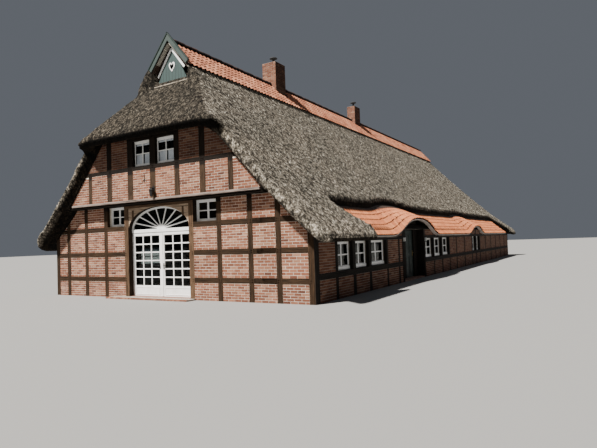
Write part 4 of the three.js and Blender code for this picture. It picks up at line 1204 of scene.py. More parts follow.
def timber_rail(blocks, face, a, b, low, high):
    middle = face.point((a + b) / 2, (low + high) / 2, -TIMBER_DEPTH / 2)
    blocks.add(middle, face.run, face.out, (b - a, high - low, TIMBER_DEPTH))


def pegs(name, face, rails, material):
    """A pair of oak pegs at each end of every rail up to a given length."""
    blocks = Blocks()
    for a, b, low, high in rails:
        if b - a > LONGEST_PEGGED_RAIL:
            continue
        for along in (a - PEG_INSET, b + PEG_INSET):
            for height in (low + (high - low) * 0.3, low + (high - low) * 0.7):
                blocks.add(face.point(along, height), face.out, Z_AXIS, (PEG, PEG, PEG))
    lay(name, blocks, BAR_BLANK, material, chamfer=0.005, seed=3)


def dress_frames():
    """Posts and rails of every side, found on its frame and, at the sides and the back, on its casings."""
    front = (X_AXIS, -Y_AXIS, posts_through)
    right = (Y_AXIS, X_AXIS, rails_through)
    left = (Y_AXIS, -X_AXIS, rails_through)
    rear = (X_AXIS, Y_AXIS, rails_through)
    frames = (
        ("front_timbers_left", ["front_frame_left"], front, FRONT_LEVELS, WEATHERED_OAK),
        ("front_timbers_right", ["front_frame_right"], front, FRONT_LEVELS, WEATHERED_OAK),
        ("gable_timbers", ["gable_frame"], front, GABLE_LEVELS, GABLE_OAK),
        (
            "right_timbers", ["right_frame", "side_windows_front", "side_windows_rear"],
            right, SIDE_LEVELS, DARK_OAK,
        ),
        ("left_timbers", ["left_frame", "left_windows"], left, SIDE_LEVELS, DARK_OAK),
        ("rear_timbers", ["rear_frame", "rear_windows"], rear, SIDE_LEVELS, DARK_OAK),
    )
    for name, nodes, (run, out, through), levels, finish in frames:
        replaced = nodes[0]
        plane = max(corner.dot(out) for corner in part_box(replaced))
        face = Face(nodes, run, out, plane, 0.005)
        blocks = Blocks()
        rails = through(blocks, face, levels)
        lay(
            name, blocks, TIMBER_BLANK, finish, replaces=[replaced],
            chamfer=TIMBER_CHAMFER, wobble=TIMBER_WOBBLE, seed=len(name),
        )
        if through is posts_through:
            pegs(f"{name}_pegs", face, rails, finish)


def sill_beam():
    """Moulded beam under the gable: a rounded upper edge, and a hollow cut back below it in near-black oak,
    painted shade.
    """
    low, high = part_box("gable_sill_beam")
    roll = Blocks()
    roll_foot = high.z - BEAM_ROLL
    middle = ((low.x + high.x) / 2, (low.y + high.y) / 2, (roll_foot + high.z) / 2)
    roll.add(middle, X_AXIS, -Y_AXIS, (high.x - low.x, BEAM_ROLL, high.y - low.y))
    lay(
        "sill_beam_roll", roll, TIMBER_BLANK, BEAM_OAK, replaces=["gable_sill_beam"],
        chamfer=0.016, wobble=0.006, seed=14,
    )
    hollow = Blocks()
    middle = ((low.x + high.x) / 2, (low.y + BEAM_HOLLOW + high.y) / 2, (low.z + roll_foot) / 2)
    hollow.add(middle, X_AXIS, -Y_AXIS, (high.x - low.x, roll_foot - low.z, high.y - low.y - BEAM_HOLLOW))
    # Painted shade: the hollow in near-black oak.
    lay("sill_beam_hollow", hollow, TIMBER_BLANK, DARK_OAK, chamfer=0.008, wobble=0.006, seed=15)


def corner_boards():
    """Oak boards over the outer ends of the front walls."""
    low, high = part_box("front_wall_right")
    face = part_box("front_frame_right")[1].x
    blocks = Blocks()
    for side in (-1, 1):
        middle = (side * (face - 0.003), (low.y + high.y) / 2, CORNER_HEAD / 2)
        blocks.add(middle, Z_AXIS, X_AXIS * side, (CORNER_HEAD, high.y - low.y + 0.012, CORNER_BOARD))
    lay("corner_boards", blocks, TIMBER_BLANK, DARK_OAK, chamfer=0.005, wobble=0.004, seed=16)


def porch_lining():
    """Dark oak boarding of the side door's recess, its two cheeks and the wall round the door: painted shade
    of the recess.
    """
    blocks = Blocks()
    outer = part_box("right_frame")[1].x
    front, rear = PORCH_SPAN
    for y, side in ((front, 1), (rear, -1)):
        middle = ((PORCH_WALL_FACE + outer) / 2, y + side * 0.008, PORCH_HEAD / 2)
        blocks.add(middle, Z_AXIS, Y_AXIS * side, (PORCH_HEAD, outer - PORCH_WALL_FACE, 0.02))
    door_low, door_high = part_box("porch_door")
    y = front
    while y < rear - 0.01:
        end = min(y + PORCH_BOARD, rear)
        over_door = end > door_low.y and y < door_high.y
        foot = door_high.z + 0.01 if over_door else 0.05
        for low, high in ((y, door_low.y), (door_high.y, end)):
            if over_door and high - low > DOOR_MARGIN:
                middle = (PORCH_WALL_FACE + 0.008, (low + high) / 2, foot / 2)
                blocks.add(middle, Z_AXIS, X_AXIS, (foot, high - low, 0.018))
        middle = (PORCH_WALL_FACE + 0.01, (y + end) / 2, (foot + PORCH_BOARD_HEAD) / 2)
        blocks.add(middle, Z_AXIS, X_AXIS, (PORCH_BOARD_HEAD - foot, end - y - PORCH_BOARD_GAP, 0.022))
        y = end
    lay("porch_lining", blocks, TIMBER_BLANK, DARK_OAK, chamfer=0.004, wobble=0.002, seed=17)


def wall_plates():
    """Boards along the wall heads, under the slope of the eaves."""
    blocks = Blocks()
    x, z = PLATE_MIDDLE
    for side in (-1, 1):
        out = Vector((PLATE_OUT[0] * side, 0, PLATE_OUT[1]))
        for low, high in PLATE_RUNS:
            blocks.add((side * x, (low + high) / 2, z), Y_AXIS, out, (high - low, *PLATE_SIZE))
    lay("wall_plates", blocks, BAR_BLANK, DARK_OAK, chamfer=0.004, seed=18)


# Thatch

def plain_result(name, mesh, modifiers):
    """Runs a list of modifiers on a mesh and gives back the plain mesh that they make."""
    carrier = linked(name, mesh)
    for kind, settings in modifiers:
        modifier = carrier.modifiers.new(kind, kind)
        for key, value in settings.items():
            setattr(modifier, key, value)
    return plain_mesh(carrier)


def joined_solids(names):
    """One mesh of several solids of the frame, with their loose triangles merged."""
    work = bmesh.new()
    for name in names:
        work.from_mesh(NODES[name].data)
    bmesh.ops.remove_doubles(work, verts=work.verts, dist=1e-5)
    mesh = bpy.data.meshes.new("joined")
    work.to_mesh(mesh)
    work.free()
    return mesh


def uneven_tree():
    """Swells and sinks the coat a little along its normals, as settled reed does."""
    t = Tree("settle_reed", {"Amount": "Float", "Swell": "Float"})
    place = t.add("GeometryNodeInputPosition").outputs[0]
    broad = t.add("ShaderNodeTexNoise", {"Vector": place, "Scale": 0.8, "Detail": 3.0}).outputs[0]
    amount = t.maths("MULTIPLY", t.maths("SUBTRACT", broad, 0.5), t.source["Amount"])
    amount = t.maths("ADD", amount, t.source["Swell"])
    offset = t.vector("SCALE", t.add("GeometryNodeInputNormal").outputs[0], amount)
    moved = t.add("GeometryNodeSetPosition", {"Geometry": t.source["Geometry"], "Offset": offset})
    t.join(moved.outputs[0], t.sink[0])
    return t.tree


def reed_blank():
    """One cut reed bundle end: a slim closed wedge that points up its own Z."""
    half = REED_WIDTH / 2
    low = -REED_LENGTH * 0.5
    high = REED_LENGTH * 0.5
    points = [(-half * 0.6, -half, low), (-half * 0.6, half, low), (half * 0.7, 0, low), (0, 0, high)]
    faces = [(0, 1, 2), (0, 3, 1), (1, 3, 2), (2, 3, 0)]
    mesh = bpy.data.meshes.new("reed_blank")
    mesh.from_pydata(points, [], faces)
    return bpy.data.objects.new("reed_blank", mesh)


def hull(work, points):
    """Adds the closed convex body round some points."""
    made = [work.verts.new(p) for p in points]
    shell = bmesh.ops.convex_hull(work, input=made)
    loose = [v for v in shell["geom_interior"] if isinstance(v, bmesh.types.BMVert)]
    bmesh.ops.delete(work, geom=loose, context="VERTS")


def add_rolls(mesh):
    """Full thatch at the two ends of the half hip, beside the gablet and along the low eaves."""
    work = bmesh.new()
    work.from_mesh(mesh)
    for side in (-1, 1):
        for body in (EAR, SHOULDERS[side]):
            hull(work, [(side * x, y, z) for x, y, z in body])
    for side, low, high in EAVE_RUNS:
        hull(work, [(side * x, y, z) for y in (low, high) for x, z in EAVE_ROLL])
    work.to_mesh(mesh)
    work.free()
    return mesh


def share_between(value, limits):
    """How far a value lies between two limits, from 0 to 1."""
    low, high = limits
    return min(1.0, max(0.0, (value - low) / (high - low)))


def round_eaves(mesh):
    """Shaves the sharp upper corner of the low eaves down to the roll's upper face."""
    (inner, top), (outer, foot) = EAVE_ROLL[:2]
    for vertex in mesh.vertices:
        x, z = vertex.co.x, vertex.co.z
        limit = inner + (top - z) / (top - foot) * (outer - inner)
        if z < top and abs(x) > limit:
            vertex.co.x = math.copysign(limit, x)


def undercut(mesh):
    """Slants the cut of each verge back under the roof, and marks how far its face is in shade."""
    tops = {-1: Slope("thatch_left"), 1: Slope("thatch_right")}
    shares = [1.0] * len(mesh.vertices)
    for vertex in mesh.vertices:
        x, y, z = vertex.co
        if y > 0 or z > HIP_EAVE:
            continue
        side = 1 if x > 0 else -1
        top = tops[side].at(x, -0.4)
        if top is None or z > top.z:
            continue
        shares[vertex.index] = share_between(top.z - z, CUT_LIT[side])
        depth = share_between(top.z - z, VERGE_SLANT[side])
        wall = GABLE_FRONT if z > JETTY_HEIGHT else 0.0
        if y < wall:
            vertex.co.y = y + (wall - y) * VERGE_UNDERCUT * depth
    mesh.attributes.new("cut_shade_share", "FLOAT", "POINT").data.foreach_set("value", shares)


def keep_inside(mesh):
    """Presses a mesh back to the sides of the CAD box."""
    low, high = CAD_BOX
    for vertex in mesh.vertices:
        vertex.co.x = min(max(vertex.co.x, low[0]), high[0])
        vertex.co.y = min(max(vertex.co.y, low[1]), high[1])


def thatch():
    """The thatch as one coat cut in two along the ridge, with loose reed ends on each half."""
    names = ["thatch_left", "thatch_right", "thatch_front_hip", "thatch_rear_hip"]
    coat = plain_result("coat", add_rolls(joined_solids(names)), [
        ("REMESH", {"mode": "VOXEL", "voxel_size": THATCH_VOXEL, "adaptivity": 0.0}),
        ("SMOOTH", {"factor": 0.5, "iterations": THATCH_SMOOTHING}),
    ])
    round_eaves(coat)
    undercut(coat)
    coat = grow("coat", uneven_tree(), coat, {"Amount": THATCH_UNEVEN, "Swell": THATCH_SWELL})
    keep_inside(coat)
    for polygon in coat.polygons:
        polygon.use_smooth = True
    reed = reed_blank()
    for word, side, hip in (("left", -1, "thatch_front_hip"), ("right", 1, "thatch_rear_hip")):
        half = half_of(coat, side)
        scattered = grow(f"reed_{word}", SCATTER_REEDS, half.copy(), {
            "Reed": reed, "Density": REED_DENSITY, "Lift": REED_LIFT, "Spread": REED_SPREAD,
            "Seed": 3 + side, "Material": REED,
        })
        keep_inside(scattered)
        piece(f"thatch_coat_{word}", half, THATCH, replaces=[f"thatch_{word}", hip])
        piece(f"reed_ends_{word}", scattered, REED)


def half_of(mesh, side):
    """The part of a mesh on one side of the ridge plane, closed along the cut."""
    work = bmesh.new()
    work.from_mesh(mesh)
    geometry = work.verts[:] + work.edges[:] + work.faces[:]
    cut = bmesh.ops.bisect_plane(
        work, geom=geometry, plane_co=(0, 0, 0), plane_no=(-side, 0, 0), clear_outer=True,
    )
    edges = [e for e in cut["geom_cut"] if isinstance(e, bmesh.types.BMEdge)]
    bmesh.ops.triangle_fill(work, edges=edges, use_beauty=True)
    bmesh.ops.recalc_face_normals(work, faces=work.faces)
    result = bpy.data.meshes.new("half")
    work.to_mesh(result)
    work.free()
    return result


# Clay tiles

class Slope:
    """The upper face of a roof solid, found by rays from above."""

    def __init__(self, node):
        self.solid = solid_tree(node)
        self.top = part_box(node)[1].z + 1

    def at(self, x, y):
        hit = self.solid.ray_cast(Vector((x, y, self.top)), -Z_AXIS)
        return hit[0]

    def lie(self, x, y, fall):
        """Place, downhill, level and outward direction at a point of the slope."""
        near = 0.06
        here = self.at(x, y)
        slopewise = [self.at(x - near * fall, y), self.at(x + near * fall, y)]
        levelwise = [self.at(x, y - TILE_BEDDING), self.at(x, y + TILE_BEDDING)]
        if here is None or None in slopewise:
            return None
        if None not in levelwise:
            here.z = (here.z + levelwise[0].z + levelwise[1].z) / 3
        down = (slopewise[1] - slopewise[0]).normalized()
        level = Y_AXIS if None in levelwise else (levelwise[1] - levelwise[0]).normalized()
        out = down.cross(level).normalized()
        if out.z < 0:
            out = -out
        if down.cross(level).dot(out) < 0:
            level = -level
        return here, down, level, out


def tile_rows(blocks, slope, x_foot, x_head, ys, courses, fall):
    """Courses of pantiles from foot to head, lapped like scales."""
    pitch = (x_head - x_foot) / courses
    for row in range(courses):
        x = x_foot + pitch * (row + 0.5)
        for y in ys:
            found = slope.lie(x, y, fall)
            if found is None:
                continue
            here, down, level, out = found
            length = abs(pitch / max(0.3, abs(down.x)))
            tilt = TILE_TILT + random.uniform(-0.01, 0.01)
            along = (down + out * tilt).normalized()
            out = (out - down * tilt).normalized()
            middle = here + out * TILE_LIFT + Y_AXIS * random.uniform(-0.003, 0.003)
            width = TILE_WIDTH / max(0.4, abs(level.y)) + TILE_SIDE_LAP
            blocks.add(middle, along, out, (length + TILE_HEAD_LAP, width, 2 * TILE_WAVE), level)


def tile_columns(low, high):
    count = int((high - low) / TILE_WIDTH)
    return [low + TILE_WIDTH * (i + 0.5) for i in range(count)]


def deck(name, node, slope, lift):
    """Boards under the tiles: the roof solid made thinner and drawn in at its edges."""
    low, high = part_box(node)
    mesh = joined_solids([node])
    for vertex in mesh.vertices:
        x, y, z = vertex.co
        top = slope.at(x * 0.999, min(max(y, low.y + 0.01), high.y - 0.01))
        if top is not None and abs(top.z - z) < 0.02:
            vertex.co.z = z - DECK_DROP
        else:
            vertex.co.z = z + lift
        if abs(x) > high.x - 0.02:
            vertex.co.x = x - math.copysign(DECK_INSET, x)
    piece(name, mesh, DECK_WOOD, replaces=[node])


def eave_board(slope, x, low_y, high_y):
    """Thin pale board that follows the eave and its two eyebrows, with a lining behind it."""
    blocks = Blocks()
    count = int((high_y - low_y) / EAVE_STEP)
    points = []
    for i in range(count + 1):
        y = low_y + (high_y - low_y) * i / count
        top = slope.at(x, y)
        if top is not None:
            points.append(Vector((x, y, top.z - EAVE_BOARD_DROP)))
    for start, end in zip(points, points[1:]):
        reach = (end - start).normalized() * 0.01
        blocks.span(start - reach, end + reach, X_AXIS, *EAVE_BOARD)
        down = X_AXIS.cross(end - start).normalized() * -0.02
        inward = X_AXIS * -EAVE_LINING[0] / 2
        blocks.span(start - reach + down + inward, end + reach + down + inward, down, *EAVE_LINING)
    lay("eave_board", blocks, BAR_BLANK, FASCIA, chamfer=0.003)


def side_tiles():
    low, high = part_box("side_tile_roof")
    slope = Slope("side_tile_roof")
    blocks = Blocks()
    foot = high.x - 0.001
    columns = tile_columns(low.y, high.y)
    tile_rows(blocks, slope, foot - 0.03, SIDE_TILE_HEAD + 0.02, columns, SIDE_COURSES, 1)
    lay("side_pantiles", blocks, PANTILE_BLANK, SIDE_TILE, seed=11)
    deck("side_deck", "side_tile_roof", slope, 0.045)
    eave_board(slope, foot - 0.045, EAVE_START, high.y - 0.05)


def ridge_roof():
    low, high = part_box("ridge_tiles")
    slope = Slope("ridge_tiles")
    blocks = Blocks()
    columns = tile_columns(low.y, high.y)
    for side in (-1, 1):
        tile_rows(blocks, slope, side * (high.x - 0.02), side * 0.1, columns, RIDGE_COURSES, side)
    lay("ridge_pantiles", blocks, PANTILE_BLANK, RIDGE_TILE, seed=12)
    deck("ridge_deck", "ridge_tiles", slope, 0.0)
    caps = Blocks()
    step, width, height = RIDGE_CAP
    count = int((high.y - low.y) / step)
    length = (high.y - low.y) / count
    chimneys = [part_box("chimney_front"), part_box("chimney_rear")]
    for i in range(count):
        y = low.y + length * (i + 0.5)
        if any(box[0].y - length / 2 < y < box[1].y + length / 2 for box in chimneys):
            continue
        lift = 0.012 * (i % 2)
        size = (length + RIDGE_CAP_LAP, width, height)
        caps.add((0, y, high.z - RIDGE_CAP_DROP + lift), (0, 1, 0.03), Z_AXIS, size)
    lay("ridge_caps", caps, CAP_BLANK, CAP_TILE, seed=13)


# Chimneys

def chimney(name):
    """A plain square shaft with a mortar bed on top, standing on the attic floor."""
    low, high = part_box(name)
    collar = Vector((CHIMNEY_COLLAR, CHIMNEY_COLLAR, 0))
    low = low + collar
    high = high - collar - Z_AXIS * CHIMNEY_TOP_DROP
    core = bpy.data.meshes.new("core")
    corners = [(x, y, z) for z in (low.z, high.z) for x, y in (
        (low.x, low.y), (high.x, low.y), (high.x, high.y), (low.x, high.y),
    )]
    sides = [(i, (i + 1) % 4, (i + 1) % 4 + 4, i + 4) for i in range(4)]
    core.from_pydata(corners, [], [(3, 2, 1, 0), (4, 5, 6, 7), *sides])
    piece(f"{name}_shaft", core, CHIMNEY_MORTAR, replaces=[name])
    blocks = Blocks()
    courses = round((high.z - CHIMNEY_FOOT) / COURSE)
    course = (high.z - CHIMNEY_FOOT) / courses
    for run, out in ((X_AXIS, -Y_AXIS), (X_AXIS, Y_AXIS), (Y_AXIS, X_AXIS), (Y_AXIS, -X_AXIS)):
        face = Plane(run, out, max(low.dot(out), high.dot(out)))
        ends = sorted((low.dot(run), high.dot(run)))
        for row in range(courses):
            level = CHIMNEY_FOOT + row * course
            lay_course(blocks, face, *ends, level + JOINT / 4, level + course - JOINT * 0.75, row % 2 == 1)
    lay(f"{name}_bricks", blocks, BRICK_BLANK, CHIMNEY_BRICK, seed=21)
    cowl(f"{name}_cap")


def cowl(node):
    """Sheet-metal rain cap: a shallow lens on a pipe."""
    low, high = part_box(node)
    centre = (low + high) / 2
    foot = low.z - CHIMNEY_TOP_DROP
    head = high.z
    rim = head - COWL_THICKNESS
    profile = (
        (0.0, foot), (COWL_FOOT, foot), (COWL_FOOT, foot + 0.02), (COWL_PIPE, foot + 0.03), (COWL_PIPE, rim),
        (COWL_RADIUS * 0.7, rim + 0.015), (COWL_RADIUS, rim + 0.05), (COWL_RADIUS * 0.85, rim + 0.09),
        (COWL_RADIUS * 0.4, head), (0.0, head),
    )
    steps = 20

    def build(work):
        rings = []
        for radius, height in profile:
            count = 1 if radius == 0 else steps
            rings.append([work.verts.new((
                centre.x + radius * math.cos(2 * math.pi * i / steps),
                centre.y + radius * math.sin(2 * math.pi * i / steps), height,
            )) for i in range(count)])
        for lower, upper in zip(rings, rings[1:]):
            for i in range(steps):
                j = (i + 1) % steps
                corners = [lower[i % len(lower)], lower[j % len(lower)]]
                corners += [upper[j % len(upper)], upper[i % len(upper)]]
                work.faces.new(list(dict.fromkeys(corners)))

    piece(f"{node}_cowl", mesh_from(f"{node}_cowl", build), ZINC, replaces=[node])


def paint_node(name, material):
    """Gives a node of the frame that stays in the picture its finish."""
    NODES[name].data.materials.clear()
    NODES[name].data.materials.append(material)


# Joinery

def rectangle(blocks, plane, a, b, foot, head, rim, depth):
    """Four bars round an opening, the uprights between the rails."""
    for height in (foot + rim / 2, head - rim / 2):
        blocks.span(plane.point(a, height), plane.point(b, height), plane.out, rim, depth)
    for along in (a + rim / 2, b - rim / 2):
        start = plane.point(along, foot + rim)
        blocks.span(start, plane.point(along, head - rim), plane.out, rim, depth)


def sash(blocks, plane, a, b, foot, head, columns, rows, rim, bar, upright=None, depth=BAR_DEPTH):
    """A rim with its upright and level glazing bars, in one plane."""
    upright = upright or bar
    rectangle(blocks, plane, a, b, foot, head, rim, depth)
    left = a + rim
    right = b - rim
    for i in range(1, columns):
        along = left + (right - left) * i / columns
        blocks.span(plane.point(along, foot + rim), plane.point(along, head - rim), plane.out, upright, depth)
    for i in range(1, rows):
        height = foot + rim + (head - foot - 2 * rim) * i / rows
        blocks.span(plane.point(left, height), plane.point(right, height), plane.out, bar, depth * 0.8)


def glaze(blocks, plane, a, b, foot, head):
    middle = plane.point((a + b) / 2, (foot + head) / 2)
    blocks.add(middle, plane.run, plane.out, (b - a, head - foot, GLASS_THICKNESS))


def light_of(node):
    """The clear opening inside a casing in the front, as along, along, foot and head."""
    low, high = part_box(node)
    return low.x + CASING, high.x - CASING, low.z + CASING, high.z - CASING


def front_windows():
    bars = Blocks()
    for name in ("front_window_left", "front_window_right"):
        a, b, foot, head = light_of(name)
        plane = Plane(X_AXIS, -Y_AXIS, -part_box(name.replace("window", "glass"))[0].y - GLASS_THICKNESS / 2)
        sash(bars, plane, a, b, foot, head, 2, 2, SASH_RIM, BAR_WIDTH, MULLION)
    lay("front_window_bars", bars, BAR_BLANK, WHITE, chamfer=0.005)


def curtain(name, a, b, foot, head, y, folds):
    """A gathered curtain: one cloth in even soft folds, cut wider than the opening."""
    steps = folds * 8
    rows = 6
    points = []
    for row in range(rows + 1):
        height = head + (foot - head) * row / rows
        spread = 0.5 + 0.5 * row / rows
        for i in range(steps + 1):
            t = i / steps
            wave = math.sin(2 * math.pi * folds * t + 0.25 * math.sin(5 * t))
            points.append((a + (b - a) * t, y + FOLD_DEPTH * spread * wave, height))
    faces = []
    for row in range(rows):
        for i in range(steps):
            first = row * (steps + 1) + i
            faces.append((first, first + steps + 1, first + steps + 2, first + 1))
    mesh = bpy.data.meshes.new(name)
    mesh.from_pydata(points, [], faces)
    for polygon in mesh.polygons:
        polygon.use_smooth = True
    cloth = piece(name, mesh, LINEN)
    thick = cloth.modifiers.new("cloth", "SOLIDIFY")
    thick.thickness = CLOTH
    thick.offset = 0.0


def gable_windows():
    bars = Blocks()
    panes = Blocks()
    rods = Blocks()
    for name in ("gable_window_left", "gable_window_right"):
        a, b, foot, head = light_of(name)
        low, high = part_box(name)
        word = name.split("_")[-1]
        middle = (a + b) / 2
        plane = Plane(X_AXIS, -Y_AXIS, -(low.y + high.y) / 2)
        sash(bars, plane, a, b, foot, head, 2, 2, SASH_RIM, BAR_WIDTH, BAR_WIDTH)
        glaze(panes, plane, a + SASH_RIM / 2, b - SASH_RIM / 2, foot + SASH_RIM / 2, head - SASH_RIM / 2)
        back = high.y + CURTAIN_BACK
        half_way = (foot + head) / 2
        for height in (half_way + 0.02, head - 0.012):
            rods.span((a, back, height), (b, back, height), -Y_AXIS, ROD, ROD)
        curtain(f"gable_curtain_{word}_a", a + 0.01, middle - 0.02, foot + 0.01, half_way + 0.01, back, 5)
        curtain(f"gable_curtain_{word}_b", middle + 0.02, b - 0.01, foot + 0.01, half_way + 0.01, back, 5)
        curtain(f"gable_valance_{word}", a + 0.01, b - 0.01, head - 0.08, head - 0.02, back, 11)
    lay("gable_window_bars", bars, BAR_BLANK, WHITE, chamfer=0.005)
    # The gable panes take the clearer glass: painted light on the curtains.
    lay("gable_panes", panes, BRICK_BLANK, GABLE_GLASS, replaces=["gable_glass"])
    lay("gable_curtain_rods", rods, BAR_BLANK, BRASS, chamfer=0.003)


def window_bays(nodes, run, out, plane):
    """Bays of a row of casings, each as its two outer edges, found by a ray through the uprights."""
    face = Face(nodes, run, out, plane, CASING_DEPTH / 2)
    jambs = face.across(WINDOW_MIDDLE)
    return [(jambs[i][0], jambs[i + 1][1]) for i in range(0, len(jambs) - 1, 2)]


def row_of_windows(name, nodes, glass, run, out, wall):
    """Casements of a side or rear wall, each with a sill board, a mullion and two lights on each side."""
    plane = Plane(run, out, wall - SIDE_REVEAL)
    bars = Blocks()
    panes = Blocks()
    for a, b in window_bays(nodes, run, out, plane.face):
        board = Plane(run, out, plane.face + BOARD_PROUD - BOARD_DEPTH / 2)
        middle = board.point((a + b) / 2, (SILL_TOP + BOARD_TOP) / 2)
        bars.add(middle, run, out, (b - a, BOARD_TOP - SILL_TOP, BOARD_DEPTH))
        casing = Plane(run, out, plane.face - SIDE_CASING_DEPTH / 2)
        rectangle(bars, casing, a, b, CASING_FOOT, HEAD_BOTTOM, SIDE_CASING, SIDE_CASING_DEPTH)
        centre = (a + b) / 2
        foot = CASING_FOOT + SIDE_CASING
        head = HEAD_BOTTOM - SIDE_CASING
        depth = SIDE_CASING_DEPTH * 0.9
        bars.span(casing.point(centre, foot), casing.point(centre, head), out, SIDE_MULLION, depth)
        half = SIDE_MULLION / 2
        for left, right in ((a + SIDE_CASING, centre - half), (centre + half, b - SIDE_CASING)):
            depth = SIDE_CASING_DEPTH * 0.7
            sash(bars, casing, left, right, foot, head, 1, 2, SIDE_RIM, SIDE_BAR, depth=depth)
            glaze(panes, casing, left + 0.005, right - 0.005, foot + 0.005, head - 0.005)
    lay(name, bars, BAR_BLANK, WHITE, replaces=nodes, chamfer=0.005)
    lay(f"{name}_panes", panes, BRICK_BLANK, GLASS, replaces=glass)


def all_windows():
    front_windows()
    gable_windows()
    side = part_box("right_frame")[1].x
    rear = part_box("rear_frame")[1].y
    right = ["side_windows_front", "side_windows_rear"]
    row_of_windows("right_casements", right, ["side_glass_front", "side_glass_rear"], Y_AXIS, X_AXIS, side)
    row_of_windows("left_casements", ["left_windows"], ["left_glass"], Y_AXIS, -X_AXIS, side)
    row_of_windows("rear_casements", ["rear_windows"], ["rear_glass"], X_AXIS, Y_AXIS, rear)


# Gate

def gate_leaf(word):
    """Glazing bars and bottom panel of one gate leaf."""
    low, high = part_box(f"gate_glass_{word}")
    centre_y = (low.y + high.y) / 2
    body = f"gate_{word}"
    bars = Blocks()
    plane = Plane(X_AXIS, -Y_AXIS, -centre_y)
    sash(
        bars, plane, low.x, high.x, low.z, high.z, GATE_COLUMNS, GATE_ROWS,
        GATE_RIM, GATE_LEVEL_BAR, GATE_UPRIGHT_BAR, GATE_BAR_DEPTH,
    )
    front = Plane(X_AXIS, -Y_AXIS, -LEAF_FRONT + 0.004)
    left = low.x + LEAF_PANEL_MARGIN
    right = high.x - LEAF_PANEL_MARGIN
    rectangle(bars, front, left, right, LEAF_FOOT + 0.05, low.z - 0.04, *LEAF_PANEL_RIM)
    lay(f"gate_bars_{word}", bars, BAR_BLANK, WHITE, body, chamfer=0.006)


def gate_furniture():
    """Cover strip over the meeting stiles, and a lever handle on each leaf."""
    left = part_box("gate_leaf_left")
    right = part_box("gate_leaf_right")
    meeting = (left[1].x + right[0].x) / 2
    strip = Blocks()
    place = (meeting + STRIP_SHIFT, LEAF_FRONT - 0.008)
    strip.span((*place, STRIP_SPAN[0]), (*place, STRIP_SPAN[1]), -Y_AXIS, 0.05, 0.016)
    lay("gate_cover_strip", strip, BAR_BLANK, WHITE, "gate_right", chamfer=0.005)
    for word, side in (("left", -1), ("right", 1)):
        blocks = Blocks()
        x = meeting + side * HANDLE_SHIFT
        height = HANDLE_HEIGHT
        plate = LEAF_FRONT - 0.004
        lever = LEAF_FRONT - 0.046
        blocks.span((x, plate, 0.98), (x, plate, 1.18), -Y_AXIS, 0.034, 0.008)
        blocks.span((x, LEAF_FRONT, height), (x, LEAF_FRONT - 0.05, height), Z_AXIS, 0.016, 0.016)
        blocks.span((x, lever, height), (x + side * LEVER, lever, height), -Y_AXIS, 0.018, 0.012)
        lay(f"gate_handle_{word}", blocks, BAR_BLANK, IRON, f"gate_{word}", chamfer=0.003)


def arch_point(angle, grow=0.0):
    """A point of the gate's arch, with its half width and rise grown by a distance."""
    half = (GATE_RIGHT - GATE_LEFT) / 2 + grow
    return GATE_CENTRE + half * math.cos(angle), TRANSOM_TOP + (ARCH_RISE + grow) * math.sin(angle)


def fan():
    """Bars of the fanlight, spread from a half-round hub."""
    low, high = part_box("fanlight")
    middle = (low.y + high.y) / 2

    def build(work):
        for i in range(1, FAN_PARTS):
            angle = math.pi * i / FAN_PARTS
            x, z = arch_point(angle, -0.05)
            tip = Vector((x, middle, z))
            hub = Vector((GATE_CENTRE, middle, TRANSOM_TOP))
            along = (tip - hub).normalized()
            across = along.cross(Y_AXIS)
            start = hub + along * HUB_RADIUS * 0.7
            outline = [
                start - across * FAN_BAR_HUB / 2, tip - across * FAN_BAR_TIP / 2,
                tip + across * FAN_BAR_TIP / 2, start + across * FAN_BAR_HUB / 2,
            ]
            prism(work, [p - Y_AXIS * BAR_DEPTH / 2 for p in outline], Y_AXIS, BAR_DEPTH)
        steps = 24
        disc = []
        for i in range(steps + 1):
            angle = math.pi * i / steps
            disc.append(Vector((
                GATE_CENTRE + HUB_RADIUS * math.cos(angle), middle - 0.03,
                TRANSOM_TOP - 0.004 + HUB_RADIUS * 0.8 * math.sin(angle),
            )))
        prism(work, disc, Y_AXIS, 0.06)

    mesh = mesh_from("fan_bars", build)
    made = piece("fan_bars", mesh, WHITE)
    edge = made.modifiers.new("edge", "BEVEL")
    edge.width = 0.006
    edge.segments = 1


def grained(mesh, along, out, seed):
    """Gives a mesh the grain and tone that the oak finishes read."""
    across = out.cross(along)
    shift = Vector(GRAIN_SHIFT) * seed
    values = []
    for vertex in mesh.vertices:
        place = vertex.co
        values += [place.dot(along) + shift.x, place.dot(across) + shift.y, place.dot(out) + shift.z]
    mesh.attributes.new("grain", "FLOAT_VECTOR", "POINT").data.foreach_set("vector", values)
    mesh.attributes.new("tone", "FLOAT", "POINT").data.foreach_set("value", [seed] * len(mesh.vertices))


